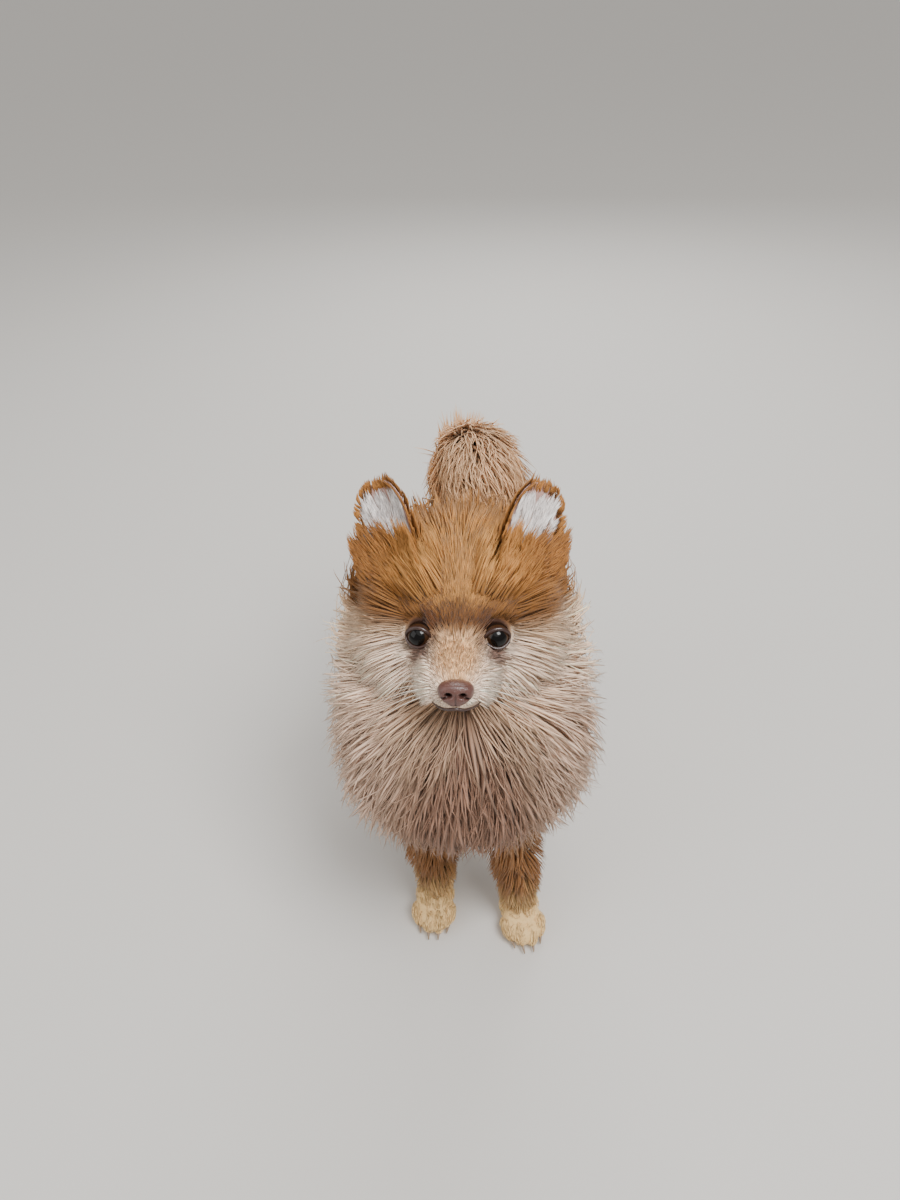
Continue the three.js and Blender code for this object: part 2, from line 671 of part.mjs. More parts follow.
// Legs
const pawTurn = { forepaw_left: 8, forepaw_right: -4, hindpaw_left: 6, hindpaw_right: -6 };
for (const [word, side] of Object.entries(SIDES)) {
  const forepaw = PAWS[`forepaw_${word}`];
  const foreleg = forelegs[`foreleg_${word}`];
  const legCut = formSolid(foreleg, 1, GAP, 8, 12);
  addNode(`forepaw_${word}`, largest(pawSolid(forepaw, pawTurn[`forepaw_${word}`]).subtract(legCut)), "cream");
  const feathers = featherLocks(side).map((lock) => lockSolid(foreleg, lock, featherLie, 0));
  const leg = union([formSolid(foreleg, 1, 0, 8, 12), ...feathers]);
  addNode(`foreleg_${word}`, largest(leg.subtract(before)), "tan");

  const hindpaw = PAWS[`hindpaw_${word}`];
  const hock = hockForm(hindpaw);
  const hockCut = formSolid(hock, 1, GAP, 8, 12);
  addNode(`hindpaw_${word}`, largest(pawSolid(hindpaw, pawTurn[`hindpaw_${word}`]).subtract(hockCut)), "cream");
  const thigh = thighForm(side, hindpaw);
  const breech = (grow) => coat(thigh, breechLocks(side), breechLie, grow, 7, 10).trimByPlane([side, 0, 0], GAP / 2);
  addNode(`thigh_${word}`, largest(breech(0).subtract(before)), "orange");
  addNode(`hindleg_${word}`, largest(formSolid(hock, 1, 0, 8, 12).subtract(breech(GAP).add(before))), "tan");
}

// The origin is on the floor, below the middle of the dog's length and width.
const box = new THREE.Box3().setFromObject(model);
model.position.set(-(box.min.x + box.max.x) / 2, -(box.min.y + box.max.y) / 2, -box.min.z);

export default model;
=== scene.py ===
"""A young Pomeranian as a life-size still model: skin, coat, eyes, nose, whiskers and claws on the frame."""

import math

import bpy
import numpy as np
from mathutils import Euler, Matrix, Vector


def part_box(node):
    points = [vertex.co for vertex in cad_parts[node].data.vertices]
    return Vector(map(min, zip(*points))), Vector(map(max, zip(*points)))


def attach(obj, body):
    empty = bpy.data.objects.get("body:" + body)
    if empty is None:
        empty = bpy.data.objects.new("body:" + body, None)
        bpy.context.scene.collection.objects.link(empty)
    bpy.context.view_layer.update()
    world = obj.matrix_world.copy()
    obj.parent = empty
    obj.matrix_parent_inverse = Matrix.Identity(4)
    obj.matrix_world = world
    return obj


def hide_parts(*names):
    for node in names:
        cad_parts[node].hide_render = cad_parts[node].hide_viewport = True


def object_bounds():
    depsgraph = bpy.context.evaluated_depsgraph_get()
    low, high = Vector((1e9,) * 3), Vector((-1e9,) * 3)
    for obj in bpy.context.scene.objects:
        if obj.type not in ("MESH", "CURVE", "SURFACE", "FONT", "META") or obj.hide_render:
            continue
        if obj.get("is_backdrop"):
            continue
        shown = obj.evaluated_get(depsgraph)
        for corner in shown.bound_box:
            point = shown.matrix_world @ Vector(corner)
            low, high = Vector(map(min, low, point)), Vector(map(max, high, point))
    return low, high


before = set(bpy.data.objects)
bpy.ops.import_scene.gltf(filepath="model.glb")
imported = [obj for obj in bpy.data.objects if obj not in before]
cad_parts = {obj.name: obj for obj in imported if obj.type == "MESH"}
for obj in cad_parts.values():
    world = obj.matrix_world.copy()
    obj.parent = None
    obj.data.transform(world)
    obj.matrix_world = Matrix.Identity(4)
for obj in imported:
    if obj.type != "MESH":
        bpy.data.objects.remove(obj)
CAD_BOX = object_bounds()

# Driving dimensions, in millimetres in the dog's own frame: the floor is z = 0 and the dog faces -y.
MM = 0.001
EYE_HEIGHT = 235
EYE_GAP = 37
EYE_RADIUS = 7.0
EYE_BULGE = 0.07  # of the clear front, as a share of the radius
HEAD_ANGLES = (-20, 1.5, -3.5)  # degrees: muzzle raised, crown to the dog's left, muzzle to its right
HEAD_SIDE = -1.5
SKIN_VOXEL = 1.7
SIDES = {1: "left", -1: "right"}  # the dog's own sides
LIDS = {"upper": (40, 1.15), "lower": (-42, 0.85)}  # degrees above the eye's middle, and half thickness
LID_CORNER = 57  # degrees from the eye's middle to each corner of the lids
LID_GAP = 0.55
LIP_RADIUS = 0.8
NOSE_CENTRE = np.array([0, -35.5, -14.5])
NOSE_RADII = np.array([8.2, 7.0, 6.6])
WHISKER_RADIUS = 0.2
WHISKER_LENGTHS = (22, 34)
CLAW_RADIUS = 1.15
CLAW_LENGTH = 6.5

# Camera, in the same frame: its place in millimetres, its angles in degrees
CAMERA_PLACE = (-4.6, -337.4, 520)
CAMERA_PITCH = 37.9
CAMERA_ROLL = 2.6
CAMERA_LENS = 27

# Floor, sky and lamps: a lamp's place and size in metres, then its power
FLOOR_SIZE = 40
FLOOR_COLOUR = (0.62, 0.6, 0.57, 1)
SKY_COLOUR = (1.0, 0.97, 0.93, 1)
SKY_STRENGTH = 0.48
LAMP_AIM = (0, -0.02, 0.16)
LAMPS = {
    "key": ((0.45, -0.65, 1.35), 0.6, 21),
    "fill": ((-1.1, -0.5, 0.8), 1.0, 5),
    "rim": ((0.2, 1.1, 0.9), 0.8, 9),
}

random = np.random.default_rng(7)


def head_matrix():
    turn = Euler([math.radians(a) for a in HEAD_ANGLES], "XYZ").to_matrix()
    return np.array(turn), np.array([HEAD_SIDE, 0, EYE_HEIGHT], float)


HEAD_TURN, HEAD_PLACE = head_matrix()


def head_to_body(points):
    return points @ HEAD_TURN.T + HEAD_PLACE


def body_to_head(points):
    return (points - HEAD_PLACE) @ HEAD_TURN


def frame_shift():
    """Where the frame's origin lies from the dog's own: both eyes are solids of the frame."""
    centres = [(Vector(low) + Vector(high)) / 2 for low, high in (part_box("eye_left"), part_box("eye_right"))]
    middle = np.array((centres[0] + centres[1]) / 2) / MM
    shift = middle - head_to_body(np.array([[0, 0.9, 0]]))[0]
    shift[2] = 0
    return shift


SHIFT = frame_shift()


def metres(points):
    return (np.asarray(points, float) + SHIFT) * MM


def columns(x, y, z):
    """Points or directions from their three parts, any of which may be one number for all."""
    return np.stack(np.broadcast_arrays(x, y, z), axis=1)


def unit(vectors):
    return vectors / np.maximum(np.linalg.norm(vectors, axis=1, keepdims=True), 1e-9)


def gaps(points, others):
    """How far each point is from each of the others."""
    return np.linalg.norm(points[:, None] - others[None], axis=2)


def smooth(value, low, high):
    """0 up to low, 1 from high, and an even rise between them."""
    t = np.clip((value - low) / (high - low), 0, 1)
    return t * t * (3 - 2 * t)


# Smooth tables and forms, the same as in the solids
def table_row(rows, u):
    """Rows of a table at u from 0 to 1, by a smooth curve through them."""
    rows = np.asarray(rows, float)
    place = np.clip(u, 0, 1) * (len(rows) - 1)
    i = np.minimum(place.astype(int), len(rows) - 2)
    t = (place - i)[:, None]
    a, b, c, d = (rows[np.clip(i + k, 0, len(rows) - 1)] for k in (-1, 0, 1, 2))
    slope_b = (c - a) / 2
    slope_c = (d - b) / 2
    bend = 2 * b - 2 * c + slope_b + slope_c
    return b + t * (slope_b + t * (-3 * b + 3 * c - 2 * slope_b - slope_c + t * bend))


def end_round(u, caps):
    inward = np.clip(np.minimum(u / caps[0], (1 - u) / caps[1]), 0, 1)
    return np.sqrt(1 - (1 - inward) ** 2)


class Form:
    """The body under the coat as sections along y (upright) or z (flat).

    A row is place, middle, half width, reach to plus, reach to minus, side offset,
    then the coat's depth at the sides, to plus and to minus. Plus is up for y and back for z.
    """

    def __init__(self, axis, rows, caps):
        self.axis = axis
        self.rows = [(list(row) + [row[6], row[6]])[:9] for row in rows]
        self.caps = caps
        self.centre = (rows[0][0] + rows[-1][0]) / 2
        self.half_length = abs(rows[-1][0] - rows[0][0]) / 2

    def at(self, u, v, share):
        s, middle, wide, plus, minus, side, coat, coat_plus, coat_minus = table_row(self.rows, u).T
        around = end_round(u, self.caps)
        angle = 2 * np.pi * v
        up = np.cos(angle) > 0
        reach = np.where(up, plus + share * coat_plus, minus + share * coat_minus)
        along = self.centre + (s - self.centre) * (1 - (1 - share) * coat / self.half_length)
        x = side + (wide + share * coat) * around * np.sin(angle)
        across = middle + reach * around * np.cos(angle)
        return columns(x, along, across) if self.axis == "y" else columns(x, across, along)

    def depth(self, u, v):
        coat, coat_plus, coat_minus = table_row(self.rows, u)[:, 6:9].T
        upright = np.cos(2 * np.pi * v)
        return coat + np.where(upright > 0, coat_plus - coat, coat_minus - coat) * upright**2


class TailForm:
    """The tail as a tube along a curve. A row is half width, half thickness and coat depth."""

    def __init__(self, points, rows, caps):
        self.points = points
        self.rows = rows
        self.caps = caps

    def middle(self, u):
        return table_row(self.points, u)

    def tangent(self, u):
        tiny = 0.01
        u = np.clip(u, tiny, 1 - tiny)
        along = self.middle(u + tiny) - self.middle(u - tiny)
        return along / np.linalg.norm(along, axis=1, keepdims=True)

    def at(self, u, v, share):
        wide, thick, coat = table_row(self.rows, u).T
        around = end_round(u, self.caps)
        tangent = self.tangent(u)
        over = np.cross([1.0, 0, 0], tangent)
        over /= np.linalg.norm(over, axis=1, keepdims=True)
        side = np.cross(tangent, over)
        angle = 2 * np.pi * v
        sideways = ((wide + share * coat) * around * np.sin(angle))[:, None]
        upward = ((thick + share * coat) * around * np.cos(angle))[:, None]
        return self.middle(u) + side * sideways + over * upward

    def depth(self, u, v):
        return table_row(self.rows, u)[:, 2] + 0 * v


TORSO = Form(
    "y",
    [
        [4, 140, 30, 36, 40, 0, 18],
        [34, 141, 38, 46, 44, 0, 20],
        [72, 142, 39, 45, 42, 0, 21],
        [110, 145, 38, 42, 36, 0, 21, 20, 16],
        [148, 149, 37, 38, 36, 0, 20],
        [192, 150, 27, 28, 32, 0, 18],
    ],
    [0.26, 0.34],
)
NECK = Form(
    "z",
    [
        [97, 2, 18, 26, 20, 0, 22, 20, 18],
        [114, 1, 29, 34, 25, 0, 32, 24, 26],
        [132, 1, 36, 38, 27, 0, 37, 24, 32],
        [152, 4, 38, 40, 28, 0, 39, 24, 34],
        [174, 9, 39, 40, 27, 0, 38, 24, 34],
        [192, 16, 39, 38, 24, 0, 38, 24, 28],
        [208, 26, 40, 32, 18, 0, 37, 24, 17],
        [226, 38, 41, 26, 11, 0, 32, 24, 10],
        [246, 48, 40, 20, 8, 0, 26, 22, 8],
        [268, 55, 34, 15, 6, 0, 20, 18, 6],
    ],
    [0.26, 0.13],
)
HEAD = Form(
    "y",
    [
        [66, -2, 24, 24, 22, 0, 10],
        [52, -2, 32, 35, 27, 0, 10],
        [36, -3, 36, 40, 28, 0, 9],
        [20, -5, 36, 39, 26, 0, 7],
        [9, -8, 31, 33, 23, 0, 5],
        [0, -11, 22, 22, 18, 0, 3],
        [-8, -13, 17, 14, 15, 0, 2.5],
        [-17, -14, 16, 10.5, 13.5, 0, 2.5],
        [-26, -15, 15, 8.5, 12, 0, 2],
        [-36, -16, 12.5, 7, 10, 0, 2],
    ],
    [0.16, 0.14],
)
PAWS = {"fore": {1: (31, -6), -1: (-23, 6)}, "hind": {1: (30, 146), -1: (-27, 152)}}
PAW_TURNS = {"fore": {1: 8, -1: -4}, "hind": {1: 6, -1: -6}}
LEG_TOPS = {1: (24, 12), -1: (-23, 14)}


def foreleg_form(side):
    x, y = PAWS["fore"][side]
    top, back = LEG_TOPS[side]
    rows = [
        [10, y + 2, 9, 9, 9, x, 3],
        [32, y + 4, 8.5, 9, 8.5, x - side, 4, 6, 4],
        [60, y + 6, 9, 10, 9, (x + top) / 2, 5, 10, 5],
        [88, back - 2, 11, 13, 11, top, 6, 12, 6],
        [122, back, 12, 16, 13, top, 7, 12, 7],
    ]
    return Form("z", rows, [0.16, 0.16])


def thigh_form(side):
    x, y = PAWS["hind"][side]
    rows = [
        [52, y + 14, 9, 12, 10, x, 7, 14, 6],
        [82, y + 6, 13, 18, 16, x - side, 13, 20, 10],
        [112, y + 2, 18, 24, 24, side * 25, 18, 20, 12],
        [144, y - 2, 20, 26, 26, side * 23, 16],
        [178, y - 2, 15, 22, 22, side * 20, 14],
    ]
    return Form("z", rows, [0.22, 0.22])


def hock_form(side):
    x, y = PAWS["hind"][side]
    rows = [
        [10, y + 6, 8.5, 8, 8, x, 3],
        [31, y + 14, 7.5, 7.5, 7, x, 3],
        [50, y + 17, 8, 9, 8, x, 4],
        [78, y + 12, 10, 12, 11, x, 6],
    ]
    return Form("z", rows, [0.2, 0.2])


TAIL_BASE = TailForm(
    [[0, 164, 172], [2, 180, 190], [5, 186, 208], [8, 184, 226]],
    [[8, 8, 12], [7, 7, 19], [6, 6, 24]],
    [0.25, 0.25],
)
PLUME = TailForm(
    [[8, 187, 218], [12, 176, 236], [15, 152, 246], [17, 128, 245], [18, 108, 238], [18, 92, 230]],
    [[6, 6, 18], [6, 6, 27], [5, 5, 30], [4, 4, 28], [3, 3, 16]],
    [0.28, 0.28],
)


# The lie of the coat: the direction from root to tip, at points of the dog's frame
FACE = np.array([0, -12, 228])


def level_lie(direction):
    """One direction everywhere."""
    return lambda p, u: np.tile(direction, (len(p), 1))


DOWN = level_lie([0, 0.5, -1.0])
LEG_DOWN = level_lie([0, 0.18, -1.0])
OVER_PAW = level_lie([0, -1.0, -0.55])


def ruff_lie(p, u):
    """Away from the face, and downward below it."""
    low = np.clip((250 - p[:, 2]) / 60, 0, 1)
    return unit(p - FACE) + columns(0, 0.25, 0.1 - 0.85 * low)


def back_lie(p, u):
    return columns(0.004 * p[:, 0], 1, -0.35 - 0.004 * np.abs(p[:, 0]))


def face_lie(p, u):
    """Back from the nose over the face, out and down at the cheeks, and up over the crown."""
    x, y, z = body_to_head(p).T
    side = np.sign(x) * smooth(np.abs(x), 0, 12)
    cheek = smooth(y, -8, 12) * (1 - smooth(z, -4, 10))
    crown = smooth(y, 2, 20) * smooth(z, 2, 16)
    out = side * (0.25 + 0.8 * cheek + 0.2 * crown)
    back = 1 - 0.45 * crown - 0.35 * cheek
    up = 0.45 * smooth(z, -4, 8) + 0.4 * crown - 0.8 * cheek - 0.1
    return columns(out, back, up) @ HEAD_TURN.T


def cheek_lie(p, u):
    x, y, z = body_to_head(p).T
    low = smooth(-z, 2, 20)
    return columns(np.sign(x) * (1 - 0.4 * low), 0.55, -0.25 - 0.6 * low) @ HEAD_TURN.T


def pad_lie(p, u):
    x, y, z = body_to_head(p).T
    return columns(np.sign(x), 0.9, -0.35) @ HEAD_TURN.T


def temple_lie(p, u):
    x, y, z = body_to_head(p).T
    return columns(np.sign(x), 0.5, 0.1 + 0.03 * z) @ HEAD_TURN.T


def toward_ear(side):
    return level_lie(np.array([side * 0.45, 0.1, 1.0]) @ HEAD_TURN.T)


def tail_lie(form):
    return lambda p, u: form.tangent(u) + columns(0.012 * (p[:, 0] - 15), 0, -0.25)


# Colours of the coat and skin, as linear values
def srgb(red, green, blue):
    value = np.array([red, green, blue], float) / 255
    return np.where(value <= 0.04045, value / 12.92, ((value + 0.055) / 1.055) ** 2.4)


GOLD = srgb(200, 146, 82)
ORANGE = srgb(172, 118, 60)
DEEP_ORANGE = srgb(136, 88, 46)
# the brow's dark brown, also painted as shadow just above and between the eyes
BROW_BROWN_AND_SHADOW = srgb(88, 52, 26)
PEACH = srgb(240, 190, 134)
WHITE_CREAM = srgb(250, 226, 206)
CREAM = srgb(232, 200, 166)
LILAC_CREAM = srgb(208, 178, 160)
# mauve-brown of the chest, darkened further as painted shadow of the head
MAUVE_AND_HEAD_SHADOW = srgb(134, 96, 78)
TAN = srgb(204, 148, 92)
EAR_PALE = srgb(226, 218, 214)
EAR_PINK = srgb(186, 150, 140)
# dark reddish skin of the ear's notch, deepened by painted shade where the ear opens
EAR_NOTCH_SKIN_AND_SHADE = srgb(92, 50, 38)
EYE_STAIN = srgb(104, 60, 44)
LEG_TAN = srgb(150, 102, 58)
PAW_CREAM = srgb(228, 192, 134)
LIP_DARK = srgb(52, 34, 30)
# painted shade: the near-black that deep hollows, the nose's nostrils and groove, darken toward
HOLLOW_PAINTED_SHADE = (0.006, 0.003, 0.003)


def layered(ground, marks):
    """A colour at each point: one ground, or one for each, under marks of a colour and its share."""
    for colour, share in marks:
        share = np.clip(share, 0, 1)[:, None]
        ground = ground * (1 - share) + colour * share
    return ground


def spot(p, centre, radii):
    """1 at the centre of an ellipsoid, falling to 0 at about its surface."""
    away = np.linalg.norm((p - np.asarray(centre)) / np.asarray(radii), axis=1)
    return 1 - smooth(away, 0.35, 1.15)


def mirrored(p):
    return columns(np.abs(p[:, 0]), p[:, 1], p[:, 2])


def paint(p):
    """The dog's markings at points in its own frame, for skin and tufts alike, with painted shade on the brow,
    the chest's middle and the lower front.
    """
    x, y, z = p.T
    front = 1 - smooth(y, 40, 80)
    leg = 1 - smooth(z, 70, 100)
    q = mirrored(body_to_head(p))
    hx, hy, hz = q.T
    near = 1 - smooth(hy, 70, 110)
    crown = smooth(hz - 0.13 * np.maximum(hx - 20, 0), -3, 8) * near
    border = np.exp(-(((hz - 7) / 7.5) ** 2)) * smooth(hx, 6, 15) * near * (1 - 0.7 * smooth(hx, 26, 46))
    face = 1 - smooth(hy, 8, 22)
    below = (1 - smooth(hz, -7, 0)) * (1 - smooth(hy, 12, 40)) * smooth(hz, -34, -26)
    body = [
        (ORANGE, 0.9 * smooth(z, 150, 200) * smooth(y, 55, 95)),
        (CREAM, 0.55 * (1 - smooth(z, 95, 130)) * smooth(y, 50, 80)),
        (CREAM, front),
        (LILAC_CREAM, 0.7 * front * spot(mirrored(p), [48, -10, 165], [34, 60, 55])),
        # the chest's middle: partly mauve-brown coat, partly painted shadow of the head above it
        (MAUVE_AND_HEAD_SHADOW, 0.9 * front * spot(p, [0, -45, 162], [46, 60, 56])),
        # darker low on the front: partly deep orange coat, partly painted shade under the ruff
        (DEEP_ORANGE, 0.45 * front * (1 - smooth(z, 92, 122))),
        (WHITE_CREAM, 0.5 * front * spot(mirrored(p), [56, 0, 208], [30, 50, 26])),
        (LEG_TAN, leg),
        (PAW_CREAM, leg * (1 - smooth(z, 12, 52))),
    ]
    head = [
        (ORANGE, crown),
        (GOLD, 0.85 * crown * spot(q, [0, 14, 30], [30, 40, 24])),
        (DEEP_ORANGE, 0.6 * crown * smooth(hx, 26, 50)),
        # dark brown along the crown's edge is coat colour; the two spots below add painted shadow just above
        # and between the eyes
        (BROW_BROWN_AND_SHADOW, 0.85 * border),
        (BROW_BROWN_AND_SHADOW, 0.78 * spot(q, [0, 0, 9], [13, 12, 9]) * face),
        (BROW_BROWN_AND_SHADOW, 0.85 * spot(q, [13, -2, 8], [10, 9, 6]) * face),
        (WHITE_CREAM, 0.85 * below * (1 - smooth(hx, 26, 54))),
        (PEACH, 0.95 * spot(q, [0, -19, -4], [15, 27, 15]) * (1 - smooth(hz, -1, 6))),
        (WHITE_CREAM, 0.9 * spot(q, [14, -26, -19], [12, 17, 9])),
        (EYE_STAIN, 0.85 * spot(q, [16.5, -3, -8], [10, 12, 6.5])),
        (EYE_STAIN, 0.6 * spot(q, [11, -5, -2], [4, 6, 6])),
    ]
    return layered(TAN, body + head)


def paint_ear_fur(p):
    """The body's markings, with a dark notch where the fur meets the bare inside of each ear: dark skin with
    painted shade.
    """
    notches = [0.8 * spot(ear_local(side, p), [side * 3, -5, 27], [8, 8, 7]) for side in SIDES]
    return layered(paint(p), [(EAR_NOTCH_SKIN_AND_SHADE, share) for share in notches])


def paint_inner_ear(p):
    """Pale inside the ear, with a dark reddish notch at its outer base: dark skin with painted shade where the
    ear opens.
    """
    notches = [0.85 * spot(ear_local(side, p), [side * 9, 2, 17], [9, 9, 15]) for side in SIDES]
    return layered(EAR_PALE, [(EAR_NOTCH_SKIN_AND_SHADE, share) for share in notches])


def paint_ear_back(p):
    return layered(ORANGE, [(DEEP_ORANGE, 0.5 * smooth(body_to_head(p)[:, 2], 60, 78))])


def paint_tail(p):
    return layered(TAN, [(CREAM, 0.6 * smooth(p[:, 2], 225, 262))])


# Tufts: closed three-sided blades that taper, bend with the form and end in a point
SMALL = 0.004  # a short step in u or v
EDGE = 0.03  # nearer than this to a form's ends, in u, a tuft goes straight on


def slopes(form, u, v, share):
    """Two short steps each way over a form, along u and along v."""
    along_u = form.at(u + SMALL, v, share) - form.at(u - SMALL, v, share)
    along_v = form.at(u, v + SMALL, share) - form.at(u, v - SMALL, share)
    return along_u, along_v


def walk(form, lie, u, v, length, start, reach, bend, steps):
    """Paths over a form along the lie of the coat, rising from one share of the coat's depth to another."""
    step = (length / steps)[:, None]
    paths, normals = [], []
    u, v = u.copy(), v.copy()
    heading = None
    for i in range(steps + 1):
        share = start + (reach - start) * (i / steps) ** 0.8
        point = form.at(u, v, share)
        if i:
            inside = ((u > EDGE) & (u < 1 - EDGE))[:, None]
            point = np.where(inside, point, paths[-1] + heading * step)
        a = np.clip(u, EDGE, 1 - EDGE)
        along_u, along_v = (short / (2 * SMALL) for short in slopes(form, a, v, share))
        normal = unit(np.cross(along_u, along_v))
        outward = np.einsum("ij,ij->i", normal, form.at(a, v, share + 0.1) - form.at(a, v, share))
        normal *= np.where(outward < 0, -1, 1)[:, None]
        flow = unit(lie(point, a))
        flow = flow + np.cross(normal, flow) * (bend * i / steps)[:, None]
        flow = unit(flow - normal * np.einsum("ij,ij->i", flow, normal)[:, None]) * step
        uu, uv, vv = ((p * q).sum(1) for p, q in ((along_u, along_u), (along_u, along_v), (along_v, along_v)))
        fu, fv = (along_u * flow).sum(1), (along_v * flow).sum(1)
        spread = uu * vv - uv * uv + 1e-9
        u = u + np.clip((fu * vv - fv * uv) / spread, -0.2, 0.2)
        v = v + np.clip((fv * uu - fu * uv) / spread, -0.2, 0.2)
        heading = unit(flow) if i == 0 else unit(point - paths[-1])
        paths.append(point)
        normals.append(normal)
    return np.stack(paths), np.stack(normals)


def flare(form, lie, u, v, length, lift, droop, steps):
    """Straight paths from a form, lifted off it by a share of its normal and drooping at the tips."""
    paths, normals = walk(form, lie, u, v, 1 + 0 * u, 0 * u, 0.0, 0 * u, 1)
    normal = normals[0]
    flow = unit(lie(paths[0], u))
    flow = unit(flow - normal * (flow * normal).sum(axis=1)[:, None])
    heading = unit(flow + lift * normal + random.normal(0, 0.16, flow.shape))
    t = np.linspace(0, 1, steps + 1)[:, None, None]
    fall = np.array([0, 0, -droop]) * t**2
    straight = paths[0][None] - normal[None] + (heading * length[:, None])[None] * t + fall * length[:, None]
    side = np.cross(normal, heading)
    over = unit(np.cross(heading, side))
    return straight, np.repeat(over[None], steps + 1, axis=0)


def gather(paths, guides, pull):
    """Draws the tips of tufts together into locks, and says which lock each belongs to."""
    steps, count = len(paths) - 1, paths.shape[1]
    chosen = random.choice(count, guides, replace=False)
    owner = np.zeros(count, int)
    for first in range(0, count, 2000):
        part = slice(first, first + 2000)
        owner[part] = np.argmin(gaps(paths[0][part], paths[0][chosen]), axis=1)
    guide = chosen[owner]
    for i in range(1, steps + 1):
        share = pull * (i / steps) ** 1.3
        paths[i] = paths[i] * (1 - share) + paths[i][guide] * share
    return owner


TAPERS = {2: (0.7, 1.0), 3: (0.6, 1.0, 0.7), 4: (0.55, 1.0, 0.85, 0.55)}


def blades(paths, normals, width):
    """Corners and triangles of one closed blade on each path, which ends in a point.

    It also gives how far along its blade each corner is, and where it is on the blade in millimetres.
    """
    steps, count = len(paths) - 1, paths.shape[1]
    corners = np.empty((count, 3 * steps + 1, 3))
    strand = np.zeros((count, 3 * steps + 1, 3))
    travelled = np.zeros(count)
    for i in range(steps):
        heading = paths[i + 1] - paths[i]
        step = np.linalg.norm(heading, axis=1)
        heading = unit(heading)
        side = unit(np.cross(normals[i], heading))
        out = np.cross(heading, side)
        half = (width * TAPERS[steps][i] / 2)[:, None]
        corners[:, 3 * i] = paths[i] + side * half - out * half * 0.3
        corners[:, 3 * i + 1] = paths[i] - side * half - out * half * 0.3
        corners[:, 3 * i + 2] = paths[i] + out * half * 0.6
        strand[:, 3 * i, 0] = half[:, 0]
        strand[:, 3 * i + 1, 0] = -half[:, 0]
        strand[:, 3 * i : 3 * i + 3, 1] = travelled[:, None]
        travelled = travelled + step
    corners[:, -1] = paths[-1]
    strand[:, -1, 1] = travelled
    faces = [(0, 1, 2)]
    for i in range(steps - 1):
        for k in range(3):
            a, b = 3 * i + k, 3 * i + (k + 1) % 3
            faces += [(a, a + 3, b), (b, a + 3, b + 3)]
    last = 3 * (steps - 1)
    faces += [(last + k, 3 * steps, last + (k + 1) % 3) for k in range(3)]
    index = np.array(faces)[None] + (np.arange(count) * (3 * steps + 1))[:, None, None]
    along = np.append(np.repeat(np.arange(steps) / steps, 3), 1.0)
    strand += random.uniform(0, 400, (count, 1, 3))
    return corners.reshape(-1, 3), index.reshape(-1, 3), np.tile(along, count), strand.reshape(-1, 3)


def add_object(name, data):
    added = bpy.data.objects.new(name, data)
    bpy.context.scene.collection.objects.link(added)
    return added


def add_piece(name, mesh, material):
    """An object of a mesh, which rides on the model's one body."""
    piece = add_object(name, mesh)
    piece.data.materials.append(material)
    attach(piece, "root")
    return piece


def paint_mesh(mesh, colours):
    opaque = np.concatenate([colours, np.ones((len(colours), 1))], axis=1)
    tint = mesh.color_attributes.new("Coat", "FLOAT_COLOR", "POINT")
    tint.data.foreach_set("color", opaque.astype(np.float32).ravel())


def tuft_mesh(name, corners, triangles, colours, uvs, strand):
    """A mesh from arrays, with a colour and a place on its tuft for each corner."""
    mesh = bpy.data.meshes.new(name)
    mesh.vertices.add(len(corners))
    mesh.vertices.foreach_set("co", metres(corners).astype(np.float32).ravel())
    mesh.loops.add(triangles.size)
    mesh.loops.foreach_set("vertex_index", triangles.astype(np.int32).ravel())
    mesh.polygons.add(len(triangles))
    mesh.polygons.foreach_set("loop_start", np.arange(0, triangles.size, 3, dtype=np.int32))
    mesh.polygons.foreach_set("use_smooth", np.ones(len(triangles), bool))
    layer = mesh.uv_layers.new(name="OFBake")
    layer.data.foreach_set("uv", uvs[triangles.ravel()].astype(np.float32).ravel())
    paint_mesh(mesh, colours)
    place = mesh.attributes.new("Strand", "FLOAT_VECTOR", "POINT")
    place.data.foreach_set("vector", strand.astype(np.float32).ravel())
    mesh.update()
    return mesh


def form_mesh(name, corners, faces, look=None, values=None):
    """A smooth mesh in the dog's frame, with one value of a look for each corner where one is given."""
    mesh = bpy.data.meshes.new(name)
    mesh.from_pydata(metres(corners).tolist(), [], faces)
    mesh.polygons.foreach_set("use_smooth", np.ones(len(faces), bool))
    if look:
        mesh.attributes.new(look, "FLOAT", "POINT").data.foreach_set("value", values.astype(np.float32))
    return mesh


PATCH = 0.003  # width of a tuft's patch on the bake's map


def patch_uvs(root_u, root_v, area, corners_each, along):
    """Each tuft is a small patch at its root's place, on the part of the map that its form has."""
    x0, y0, wide, high = area
    centre_x = np.repeat(x0 + wide * (root_v % 1), corners_each)
    centre_y = np.repeat(y0 + high * np.clip(root_u, 0, 1), corners_each)
    ring = np.tile(np.arange(corners_each) % 3, len(root_u))
    return np.stack([centre_x + PATCH * (ring - 1) / 2, centre_y + PATCH * (along - 0.5)], axis=1)


def spread_roots(form, count, u_range, v_range, keep):
    """Roots spread evenly by area over a form, where keep(points) allows them."""

    def area_at(u, v):
        return np.linalg.norm(np.cross(*slopes(form, np.clip(u, 0.01, 0.99), v, 0.5)), axis=1)

    most = np.percentile(area_at(random.uniform(*u_range, 4000), random.uniform(*v_range, 4000)), 99.5)
    us, vs, found = [], [], 0
    while found < count:
        u = random.uniform(*u_range, 3 * count)
        v = random.uniform(*v_range, 3 * count)
        chosen = random.uniform(0, 1, 3 * count) < area_at(u, v) / most
        if keep is not None:
            chosen &= keep(form.at(u, v, 0.0))
        us.append(u[chosen])
        vs.append(v[chosen])
        found += chosen.sum()
    return np.concatenate(us)[:count], np.concatenate(vs)[:count]


